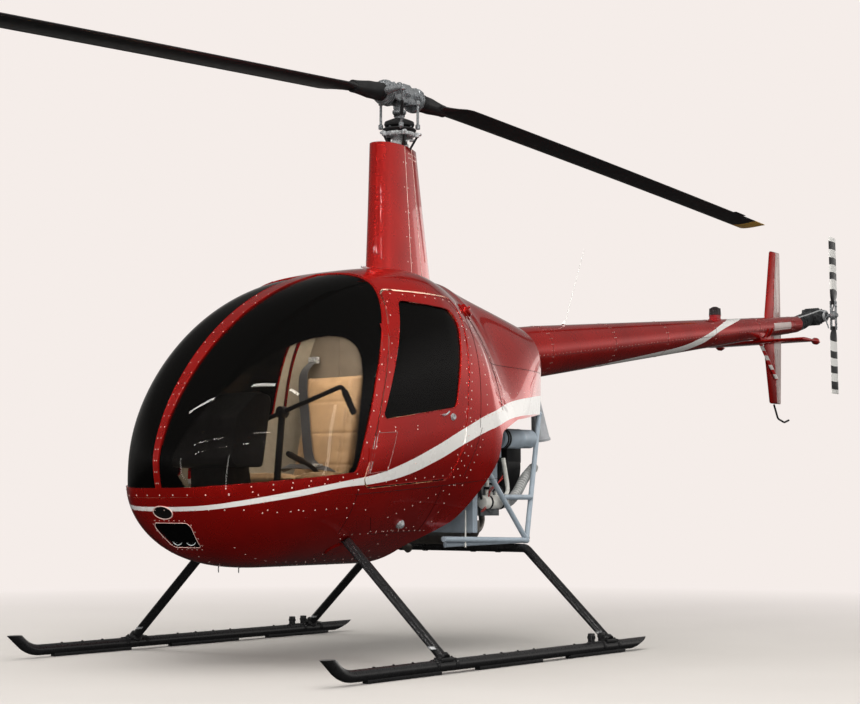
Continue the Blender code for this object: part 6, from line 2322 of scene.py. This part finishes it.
def build_lamps():
    """The two landing lamps behind their window, with dished reflectors that glow faintly as painted light,
    and the tray round them.
    """
    dish, glass, tray = bmesh.new(), bmesh.new(), bmesh.new()
    for side in (1, -1):
        base = Vector((side * 0.040, -1.335, 0.5425))
        front = Vector((0, -1, 0))
        lathe_into(dish, base, front,
                   ((0, 0.010), (0.004, 0.0200), (0.034, 0.0345), (0.037, 0.0362), (0.040, 0.0350),
                    (0.037, 0.0335), (0.020, 0.026), (0.008, 0.012), (0.008, 0)), 36)
        lathe_into(glass, base, front, ((0.0375, 0.0332), (0.0400, 0.025), (0.0412, 0.010), (0.0415, 0)),
                   32, capped=False)
        for k in range(-4, 5):
            half = 0.033 * math.sqrt(max(1 - (k / 4.6) ** 2, 0.05))
            spot = base + front * 0.0402
            tube_into(glass, (spot + Vector((k * 0.0072, 0.0006, -half)),
                              spot + Vector((k * 0.0072, 0.0006, half))), 0.0009, 5)
        for dz in (-0.048, 0.048):
            hex_bolt(tray, base + Vector((0, -0.004, dz)), front, 0.004, 0.003)
    box_into(tray, (-0.105, -1.340, 0.498), (0.105, -1.330, 0.598), 0.002)
    piece("lamp_dishes", dish, "root", "lamp_silver_painted_glow", "landing_lights")
    piece("lamp_faces", glass, "root", "clear_lens")
    piece("lamp_tray", tray, "root", "plain_paint")
    # A bead and rivets round the window, in pale pink: painted highlights.
    shape = bmesh.new()
    edge, _ = skin_front(divided(rounded(LAMP_WINDOW, 0.0015), 0.010), lift=0.0004)
    tube_into(shape, edge, 0.0016, 8, closed=True)
    rivet_into(shape, *skin_front(spaced(rounded(LAMP_WINDOW, 0.011), 0.030, True)), radius=0.0026)
    piece("lamp_window_rim", shape, "root", "painted_highlight_pink", smooth=60)


# Floor, light and camera

CAMERA_PLACE = Vector((5.1517, -6.1634, 0.6758))
CAMERA_YAW = 0.67767
CAMERA_PITCH = 0.09025
LENS = 70.44


FLOOR_LOW = (0.42, 0.407, 0.390)
FLOOR_HIGH = (0.45, 0.437, 0.420)
BACKDROP = (0.913, 0.847, 0.815)
# The floor turns into the backdrop between these distances from the mast
FADE_START = 0.9
FADE_END = 6.2


def build_stage():
    """The floor, which fades into the backdrop."""
    tree, shader = new_material("floor_pale")
    x, y, _, place = object_point(tree)
    colour = mix_colour(tree, cloud(tree, place, 0.8, 5.0), FLOOR_LOW, FLOOR_HIGH)
    link(tree, colour, shader.inputs["Base Color"])
    shader.inputs["Roughness"].default_value = 0.9
    shader.inputs["Specular IOR Level"].default_value = 0.1
    glow = add(tree, "ShaderNodeEmission")
    glow.inputs[0].default_value = (*BACKDROP, 1.0)
    far = ramp(tree, length_of(tree, x, y), FADE_START, FADE_END)
    faded = mix_shader(tree, far, shader.outputs[0], glow.outputs[0])
    link(tree, faded, tree.nodes["Material Output"].inputs[0])
    bpy.ops.mesh.primitive_circle_add(vertices=96, radius=60.0, fill_type="NGON", location=(0, 0, -0.0008))
    floor = bpy.context.object
    floor.name = "floor"
    floor.data.materials.append(MATERIALS["floor_pale"])
    floor.visible_glossy = False
    floor.visible_diffuse = False


# Softboxes: place, what they face, width, height, watts, whether reflections show them
LIGHTS = (
    ((1.5, -1.5, 7.5), (0, 0.3, 0.0), 9.0, 9.0, 800, False),
    ((6.5, -5.5, 5.2), (0, -0.3, 1.0), 3.0, 3.0, 190, False),
    ((1.0, -8.5, 1.7), (0, -1.3, 0.8), 2.5, 2.0, 150, False),
    ((8.0, 1.5, 2.6), (0, 0.5, 1.2), 5.0, 2.0, 70, False),
    ((-6.0, -3.0, 4.5), (0, 0.5, 1.0), 3.0, 4.5, 150, False),
    ((-4.5, 6.5, 5.0), (0, 2.0, 1.2), 4.0, 3.0, 120, False),
    ((-1.5, 24.0, 4.0), (0, 0.0, 1.2), 13.0, 6.5, 230, True),
    ((-3.6, -14.0, 1.2), (0, 0.0, 2.0), 0.45, 5.0, 34, True),
    ((8.6, -12.6, 1.0), (0, 0.0, 2.0), 0.35, 5.0, 34, True),
    ((13.0, 2.0, 1.4), (0, 0.0, 2.0), 0.40, 5.0, 34, True),
    ((0.0, -0.62, 1.60), (0, -0.30, 0.85), 0.6, 0.3, 12, False),
    ((0.0, -1.05, 1.42), (0, -0.30, 1.0), 0.4, 0.2, 18, False),
)
# Rows of tube lights under the ceiling: y where x is 0, then the x of each tube's start
TUBE_HEIGHT = 6.0
TUBE_LENGTH = 2.5
TUBE_WIDTH = 0.22
TUBE_SLOPE = 0.24
TUBE_WATTS = 60
TUBE_ROWS = (
    (-4.95, (-3.5, 2.1, 7.2)),
    (-13.0, (-0.5, 2.7, 12.3, 16.3)),
    (-18.3, (0.7, 7.2, 15.1, 24.4)),
)


def area_light(name, place, target, width, height, watts, reflected=True):
    """A warm white softbox that faces its target."""
    data = bpy.data.lights.new(name, "AREA")
    data.shape = "RECTANGLE"
    data.size, data.size_y = width, height
    data.energy = watts
    data.color = (1.0, 0.97, 0.93)
    made = in_scene(name, data)
    made.location = place
    made.rotation_euler = (Vector(target) - Vector(place)).to_track_quat("-Z", "Y").to_euler()
    made.visible_glossy = reflected
    made.visible_camera = False
    return made


def build_light():
    """The softboxes, the tube lights and the room round them."""
    for number, (place, target, width, height, watts, reflected) in enumerate(LIGHTS):
        area_light(f"softbox_{number}", place, target, width, height, watts, reflected)
    lean = math.atan(TUBE_SLOPE)
    for row, (y, starts) in enumerate(TUBE_ROWS):
        for number, x in enumerate(starts):
            middle_x = x + TUBE_LENGTH / 2 * math.cos(lean)
            place = Vector((middle_x, y + TUBE_SLOPE * middle_x + REAR_SHIFT, TUBE_HEIGHT))
            tube = area_light(f"tube_{row}_{number}", place, place - UP, TUBE_LENGTH,
                              TUBE_WIDTH, TUBE_WATTS)
            tube.rotation_euler = (0, 0, lean)
    world = bpy.data.worlds.new("studio")
    bpy.context.scene.world = world
    world.use_nodes = True
    tree = world.node_tree
    tree.nodes.clear()
    place = add(tree, "ShaderNodeTexCoord").outputs["Generated"]
    split = add(tree, "ShaderNodeSeparateXYZ")
    link(tree, place, split.inputs[0])
    shade = add(tree, "ShaderNodeValToRGB")
    link(tree, ramp(tree, split.outputs[2], -1.0, 1.0), shade.inputs[0])
    stops = shade.color_ramp.elements
    rows = ((0.0, 0.020), (0.40, 0.025), (0.500, 0.20), (0.58, 0.62), (0.70, 0.22), (1.0, 0.10))
    for position, level in rows[2:]:
        stops.new(position)
    for stop, (position, level) in zip(stops, rows):
        stop.position = position
        stop.color = (level, level * 0.97, level * 0.93, 1.0)
    seen = add(tree, "ShaderNodeBackground")
    seen.inputs[0].default_value = (*BACKDROP, 1.0)
    # The room is brighter behind the aircraft than ahead of it
    astern = math_node(tree, "ADD", math_node(tree, "MULTIPLY", split.outputs[0], 0.55),
                       math_node(tree, "MULTIPLY", split.outputs[1], 0.83))
    mirrored = add(tree, "ShaderNodeBackground")
    link(tree, shade.outputs[0], mirrored.inputs[0])
    link(tree, ramp(tree, astern, -0.1, 0.7, 0.35, 1.0), mirrored.inputs[1])
    lit = add(tree, "ShaderNodeBackground")
    lit.inputs[0].default_value = (0.30, 0.29, 0.28, 1.0)
    ray = add(tree, "ShaderNodeLightPath")
    room = mix_shader(tree, ray.outputs["Is Diffuse Ray"], mirrored.outputs[0], lit.outputs[0])
    room = mix_shader(tree, ray.outputs["Is Camera Ray"], room, seen.outputs[0])
    link(tree, room, add(tree, "ShaderNodeOutputWorld").inputs[0])
    bpy.context.scene.view_settings.view_transform = "Standard"


def build_camera():
    """The camera that was fitted to the photograph."""
    data = bpy.data.cameras.new("camera")
    data.sensor_width = 36.0
    data.sensor_fit = "HORIZONTAL"
    data.lens = LENS
    made = in_scene("camera", data)
    made.location = CAMERA_PLACE + Vector((0, REAR_SHIFT, 0))
    look = Vector((-math.sin(CAMERA_YAW) * math.cos(CAMERA_PITCH),
                   math.cos(CAMERA_YAW) * math.cos(CAMERA_PITCH), math.sin(CAMERA_PITCH)))
    made.rotation_euler = look.to_track_quat("-Z", "Y").to_euler()
    bpy.context.scene.camera = made


# Materials of single pieces

def banded_material(name, value_of, bands, colour, other, roughness):
    """Paint in one colour with bands in another, where value_of gives how far along a point is."""
    tree, shader = new_material(name)
    x, y, z, place = object_point(tree)
    value = value_of(tree, x, y, z)
    mask = None
    for low, high in bands:
        inside = math_node(tree, "MULTIPLY", ramp(tree, value, low - 0.0008, low + 0.0008),
                           ramp(tree, value, high - 0.0008, high + 0.0008, 1.0, 0.0))
        mask = inside if mask is None else math_node(tree, "ADD", mask, inside, clamp=True)
    pale = tuple(min(c * 1.3 + 0.002, 1) for c in colour)
    base = mix_colour(tree, cloud(tree, place, 18.0), colour, pale)
    link(tree, mix_colour(tree, mask, base, other), shader.inputs["Base Color"])
    gloss = cloud(tree, place, 30.0, start=roughness - 0.05, end=roughness + 0.06)
    link(tree, gloss, shader.inputs["Roughness"])
    shader.inputs["Coat Weight"].default_value = 0.2
    shader.inputs["Coat Roughness"].default_value = 0.1


def main_reach(tree, x, y, z):
    """Distance from the main rotor's axis."""
    return length_of(tree, x, y)


def tail_reach(tree, x, y, z):
    """Distance from the tail rotor's axis."""
    back = math_node(tree, "SUBTRACT", y, TAIL_HUB.y)
    rise = math_node(tree, "SUBTRACT", z, TAIL_HUB.z)
    return length_of(tree, back, rise)


def fin_share(tree, x, y, z):
    """How far back on a fin a point is, from 0 at its front edge to 1 at its rear edge."""
    up = math_node(tree, "SUBTRACT", z, 1.830)
    # The front edge leans back at a rate of its own above and below the fins' root
    above = math_node(tree, "MULTIPLY", math_node(tree, "MAXIMUM", up, 0.0), 0.188)
    below = math_node(tree, "MULTIPLY", math_node(tree, "MINIMUM", up, 0.0), -0.176)
    edge = math_node(tree, "ADD", math_node(tree, "ADD", above, 3.762), below)
    return math_node(tree, "DIVIDE", math_node(tree, "SUBTRACT", y, edge),
                     math_node(tree, "SUBTRACT", 4.004, edge))


def fin_rear(tree, x, y, z):
    """1 on the rear half of the fins, which is coloured pale: a painted reflection."""
    return ramp(tree, fin_share(tree, x, y, z), 0.47, 0.48)


def fabric_material(name, colour, scale, roughness=0.9, sheen=0.3):
    """Woven cloth of crossed threads, finer at a larger scale."""
    tree, shader = new_material(name)
    place = object_place(tree)
    heights = []
    for direction in ("X", "Z"):
        wave = add(tree, "ShaderNodeTexWave", bands_direction=direction)
        wave.inputs["Scale"].default_value = scale
        wave.inputs["Distortion"].default_value = 0.4
        link(tree, place, wave.inputs["Vector"])
        heights.append(wave.outputs["Fac"])
    weave = math_node(tree, "MULTIPLY", *heights)
    worn, fresh, shaded = (tuple(c * level for c in colour) for level in (0.85, 1.12, 0.5))
    base = mix_colour(tree, cloud(tree, place, 7.0), worn, fresh)
    # Darker where the weave is low, between the threads: painted shade.
    dark = mix_colour(tree, ramp(tree, weave, 0.0, 0.6, 0.5, 0.0), base, shaded)
    link(tree, dark, shader.inputs["Base Color"])
    link(tree, ramp(tree, weave, 0.0, 1.0, roughness, roughness - 0.12), shader.inputs["Roughness"])
    shader.inputs["Sheen Weight"].default_value = sheen
    bump(tree, shader, weave, 0.35, 0.0006)


def rod_height(tree, x, y, z):
    """Height on the warning rod."""
    return z


def make_materials():
    """All materials of the pieces. After a name and a colour come roughness, metal, and the size and
    strength of the colour's patches, then the strength and fineness of a grain."""
    paint_material("pod_paint", pod_stripe)
    paint_material("plain_paint")
    paint_material("boom_paint", boom_band)
    # The fins' rear half in pale pink: a painted reflection of the pale surroundings.
    paint_material("fin_paint", fin_rear, PAINTED_REFLECTION_PALE)
    # Pale pink on rivets, rims, beads and the fairing's seams: painted highlights, as if each caught the
    # light.
    simple_material("painted_highlight_pink", (0.95, 0.62, 0.56), 0.25, 0.0, coat=1.0)
    simple_material("seam_dark", (0.030, 0.003, 0.003), 0.45)
    simple_material("seam_red", (0.10, 0.006, 0.006), 0.40)
    # Pale metal lines on the doors: painted highlights.
    simple_material("painted_highlight_silver", (0.62, 0.40, 0.38), 0.22, 0.7)
    # Flat black for the nose vent's opening: painted shade.
    simple_material("painted_shade_black", (0.004, 0.004, 0.004), 0.70)
    glass_material("tinted_glass", (0.62, 0.60, 0.57))
    glass_material("clear_lens", (0.90, 0.91, 0.92))
    simple_material("gear_black", (0.012, 0.012, 0.013), 0.30, 0.0, coat=0.4)
    simple_material("blade_black", (0.014, 0.014, 0.015), 0.42, 0.0, coat=0.1)
    simple_material("frame_paint", (0.36, 0.43, 0.50), 0.35, 0.0, 18.0, 0.10, coat=0.3)
    simple_material("bare_metal", (0.60, 0.62, 0.64), 0.28, 0.55, 60.0, 0.2)
    simple_material("hub_metal", (0.33, 0.35, 0.37), 0.26, 0.65, 45.0, 0.18)
    simple_material("case_dark", (0.055, 0.058, 0.062), 0.38, 0.4, 45.0, 0.35, 0.2, 500.0)
    simple_material("cabin_lining", (0.30, 0.26, 0.20), 0.70, 0.0, 30.0, 0.10, 0.3, 500.0)
    simple_material("exhaust_metal", (0.34, 0.31, 0.28), 0.42, 0.9, 12.0, 0.30)
    simple_material("engine_cast", (0.25, 0.26, 0.27), 0.50, 0.5, 30.0, 0.25, 0.2, 500.0)
    simple_material("cream_plastic", (0.74, 0.74, 0.70), 0.42, 0.0, 25.0, 0.12)
    simple_material("hose_grey", (0.42, 0.43, 0.43), 0.55, 0.0, 40.0, 0.2)
    simple_material("funnel_grey", (0.47, 0.49, 0.52), 0.38, 0.3, 25.0, 0.12)
    simple_material("wire_red", (0.40, 0.02, 0.015), 0.45, 0.0, 40.0, 0.2)
    simple_material("fan_black", (0.010, 0.010, 0.011), 0.40, 0.0, 25.0, 0.3, 0.1, 500.0)
    simple_material("leather_tan", (0.34, 0.22, 0.12), 0.46, 0.0, 14.0, 0.16, 0.28, 420.0)
    simple_material("cabin_black", (0.018, 0.018, 0.019), 0.55, 0.0, 30.0, 0.25, 0.2, 600.0)
    simple_material("rubber_black", (0.014, 0.014, 0.015), 0.62, 0.0, 40.0, 0.3, 0.2, 400.0)
    # The reflectors glow faintly: painted light, standing in for the light they catch.
    simple_material("lamp_silver_painted_glow", (0.86, 0.87, 0.88), 0.16, 0.55, 80.0, 0.1)
    lit = MATERIALS["lamp_silver_painted_glow"].node_tree.nodes["Principled BSDF"]
    lit.inputs["Emission Color"].default_value = (0.80, 0.86, 0.84, 1.0)
    lit.inputs["Emission Strength"].default_value = 0.40
    simple_material("beacon_plastic", (0.30, 0.010, 0.014), 0.22, 0.0, 30.0, 0.2, coat=0.8)
    simple_material("beacon_dark", (0.020, 0.012, 0.014), 0.20, 0.0, 30.0, 0.3, coat=0.8)
    simple_material("aerial_white", (0.80, 0.80, 0.78), 0.35, 0.0, 30.0, 0.1)
    simple_material("plate_pale", (0.66, 0.56, 0.54), 0.35, 0.2, 30.0, 0.1)
    simple_material("dial_rim", (0.025, 0.025, 0.026), 0.35, 0.0, 40.0, 0.2, 0.1, 700.0)
    simple_material("dial_black", (0.006, 0.006, 0.007), 0.25, 0.0, 40.0, 0.2, coat=1.0)
    simple_material("mark_white", (0.72, 0.72, 0.68), 0.45, 0.0, 60.0, 0.1)
    fabric_material("belt_web", (0.022, 0.022, 0.024), 320.0)
    simple_material("wall_fabric", (0.15, 0.122, 0.092), 0.80, 0.0, 9.0, 0.16, 0.25, 500.0)
    fabric_material("carpet_dark", (0.035, 0.033, 0.032), 180.0, 0.95, 0.5)
    banded_material("main_blade", main_reach, ((MAIN_RADIUS - 0.150, MAIN_RADIUS + 0.1),),
                    (0.014, 0.014, 0.015), (0.50, 0.30, 0.04), 0.40)
    banded_material("tail_blade", tail_reach,
                    ((0.180, 0.247), (0.295, 0.347), (0.396, 0.451), (0.505, 0.560)), (0.012, 0.012, 0.013),
                    (0.82, 0.82, 0.80), 0.38)
    banded_material("striped_rod", rod_height, [(1.498 + 0.058 * k, 1.527 + 0.058 * k) for k in range(4)],
                    (0.42, 0.012, 0.012), (0.80, 0.78, 0.75), 0.35)


def dress_frame_nodes():
    """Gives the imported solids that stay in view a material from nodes."""
    looks = {
        "black_paint": "gear_black", "rotor_black": "blade_black", "frame_steel": "frame_paint",
        "silver_metal": "bare_metal", "engine_grey": "engine_cast", "cream_duct": "cream_plastic",
        "tan_leather": "wall_fabric", "black_plastic": "cabin_black", "belt_rubber": "rubber_black",
        "lamp_glass": "lamp_silver_painted_glow", "beacon_red": "beacon_plastic", "red_paint": "plain_paint",
        "tinted_glass": "tinted_glass",
    }
    for part in frame["record"]["subparts"]:
        mesh = frame["nodes"][part["node"]].data
        mesh.materials.clear()
        mesh.materials.append(MATERIALS[looks[part["material_slot"]]])


make_materials()
dress_frame_nodes()
for build in (
    build_stage, build_light, build_camera, build_pod, build_rivets, build_beads, build_seams,
    build_fittings, build_door_fittings, build_fairing, build_mast, build_blades, build_hub, build_boom,
    build_fins, build_tail_fittings, build_tail_rotor, build_gear, build_tube_frame, build_engine_detail,
    build_fan, build_intake, build_drive, build_seats, build_walls, build_console, build_controls,
    build_lamps,
):
    build()
